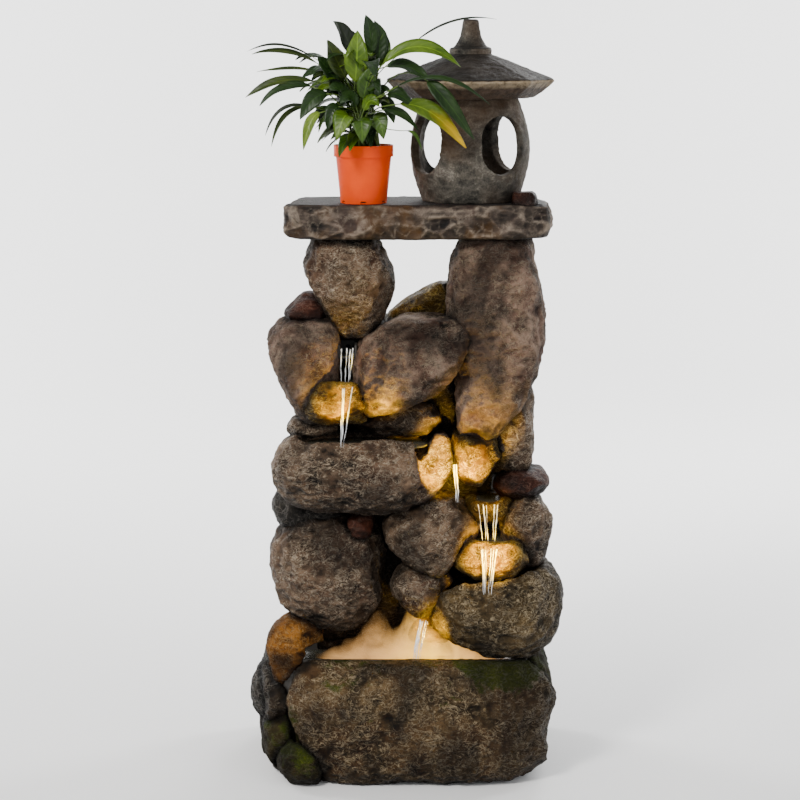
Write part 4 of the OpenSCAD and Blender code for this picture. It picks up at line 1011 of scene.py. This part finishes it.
def make_plain_nodes():
    """Materials for the CAD nodes that keep their own shape."""
    finishes = {
        "basin_resin": plastic_material("basin_resin", (0.035, 0.031, 0.027), 0.6, 0.3, 260, 0.5),
        "cover_resin": plastic_material("cover_resin", (0.0105, 0.0078, 0.0056), 0.85, 0.5, 120, 1.2, 0.1),
        "rubber": plastic_material("rubber", (0.018, 0.018, 0.019), 0.8, 0.2, 600, 0.3),
        "pot_plastic": pot_material(),
        "soil": soil_material(),
        "pump_plastic": plastic_material("pump_plastic", (0.022, 0.023, 0.026), 0.4),
        "ceramic_white": plastic_material("ceramic_white", (0.80, 0.79, 0.75), 0.2, 0.03, 300, 0.05),
        "impeller_plastic": plastic_material("impeller_plastic", (0.66, 0.66, 0.64), 0.35, 0.06),
        "hose_plastic": plastic_material("hose_plastic", (0.085, 0.092, 0.10), 0.4, 0.15),
        "led_lens": lens_material(),
        "mist_metal": metal_material("mist_metal", (0.55, 0.56, 0.57), 0.28),
        "brass": metal_material("brass", (0.72, 0.52, 0.20), 0.22),
    }
    for node, obj in frame["nodes"].items():
        finish = finishes.get(SLOTS[node])
        if finish:
            obj.data.materials.clear()
            obj.data.materials.append(finish)


# ---- Stage and lights ------------------------------------------------------------------------------------

def light(name, kind, place, energy, colour, size, target=None, **settings):
    data = bpy.data.lights.new(name, kind)
    data.energy = energy
    data.color = colour
    if kind == "AREA":
        data.shape = "DISK"
        data.size = size
    else:
        data.shadow_soft_size = size
    for key, value in settings.items():
        setattr(data, key, value)
    obj = bpy.data.objects.new(name, data)
    bpy.context.collection.objects.link(obj)
    obj.location = place
    obj.visible_camera = False
    if target:
        obj.rotation_euler = (Vector(target) - Vector(place)).to_track_quat("-Z", "Y").to_euler()
    return obj


WARM = (1.0, 0.60, 0.01)


def make_world():
    """Soft even light; the backdrop itself is seen as near white."""
    world = bpy.data.worlds.new("studio")
    bpy.context.scene.world = world
    world.use_nodes = True
    tree = world.node_tree
    soft = tree.nodes["Background"]
    soft.inputs["Color"].default_value = (0.97, 0.98, 1.0, 1)
    soft.inputs["Strength"].default_value = 0.55
    seen = tree.nodes.new("ShaderNodeBackground")
    seen.inputs["Color"].default_value = (0.97, 0.975, 0.98, 1)
    seen.inputs["Strength"].default_value = 1.6
    pick = tree.nodes.new("ShaderNodeMixShader")
    tree.links.new(tree.nodes.new("ShaderNodeLightPath").outputs["Is Camera Ray"], pick.inputs["Fac"])
    tree.links.new(soft.outputs[0], pick.inputs[1])
    tree.links.new(seen.outputs[0], pick.inputs[2])
    tree.links.new(pick.outputs[0], tree.nodes["World Output"].inputs["Surface"])


def make_floor():
    """A pale floor that curves up into a backdrop far behind."""
    profile = [(-8.0, 0.0), (3.0, 0.0)]
    profile += [(3.0 + 2.5 * math.sin(math.radians(a)), 2.5 - 2.5 * math.cos(math.radians(a))) for a in range(6, 91, 6)]
    profile.append((5.5, 9.0))
    points = [(x, y, z) for y, z in profile for x in (-14, 14)]
    faces = [(2 * i, 2 * i + 1, 2 * i + 3, 2 * i + 2) for i in range(len(profile) - 1)]
    floor = bpy.data.objects.new("floor", mesh_from("floor", points, faces))
    floor.data.polygons.foreach_set("use_smooth", [True] * len(faces))
    bpy.context.collection.objects.link(floor)
    s = Shader("pale_floor")
    floor.data.materials.append(s.finish(Base_Color=(0.90, 0.90, 0.895), Roughness=0.8, Specular_IOR_Level=0.2))


def make_stage():
    """Pale floor, soft studio light, and the fountain's own warm lamps."""
    make_floor()
    make_world()
    middle = (0, 0, 0.6)
    light("key", "AREA", (-1.5, -2.3, 2.5), 105, (1.0, 0.97, 0.93), 0.9, middle)
    light("fill", "AREA", (2.2, -2.0, 1.2), 22, (0.95, 0.97, 1.0), 1.6, middle)
    light("rim", "AREA", (0.9, 2.2, 2.0), 35, (1.0, 1.0, 1.0), 1.2, middle)
    light("backdrop_left", "AREA", (-3.2, 2.0, 2.6), 330, (1.0, 1.0, 1.0), 2.4, (-0.8, 5.2, 0.9))
    light("backdrop_right", "AREA", (3.2, 2.0, 2.6), 330, (1.0, 1.0, 1.0), 2.4, (0.8, 5.2, 0.9))
    for name, place, aim, energy, cone in [
            ("lamp_upper_left", (-88, -168, 560), (-100, -128, 586), 1.7, 80),
            ("lamp_upper", (-36, -160, 552), (-30, -126, 584), 2.6, 84),
            ("lamp_column", (114, -156, 458), (112, -112, 500), 4.2, 84),
            ("lamp_scoop", (72, -176, 474), (64, -118, 480), 7.0, 72),
            ("lamp_spill", (142, -190, 362), (138, -130, 350), 4.2, 78),
            ("lamp_ledge", (134, -132, 436), (134, -90, 416), 0.25, 120),
            ("lamp_basin", (52, -136, 206), (55, -95, 240), 1.5, 100),
            ("lamp_ridge", (8, -30, 704), (14, 0, 716), 0.12, 150)]:
        light(name, "SPOT", [c * MM for c in place], energy, WARM, 6 * MM, [c * MM for c in aim],
              spot_size=math.radians(cone), spot_blend=0.7)


# ---- Build --------------------------------------------------------------------------------------------------

make_camera()
make_rocks(make_rock_materials())
make_slab()
make_lantern()
make_plant()
make_water()
make_plain_nodes()
make_stage()
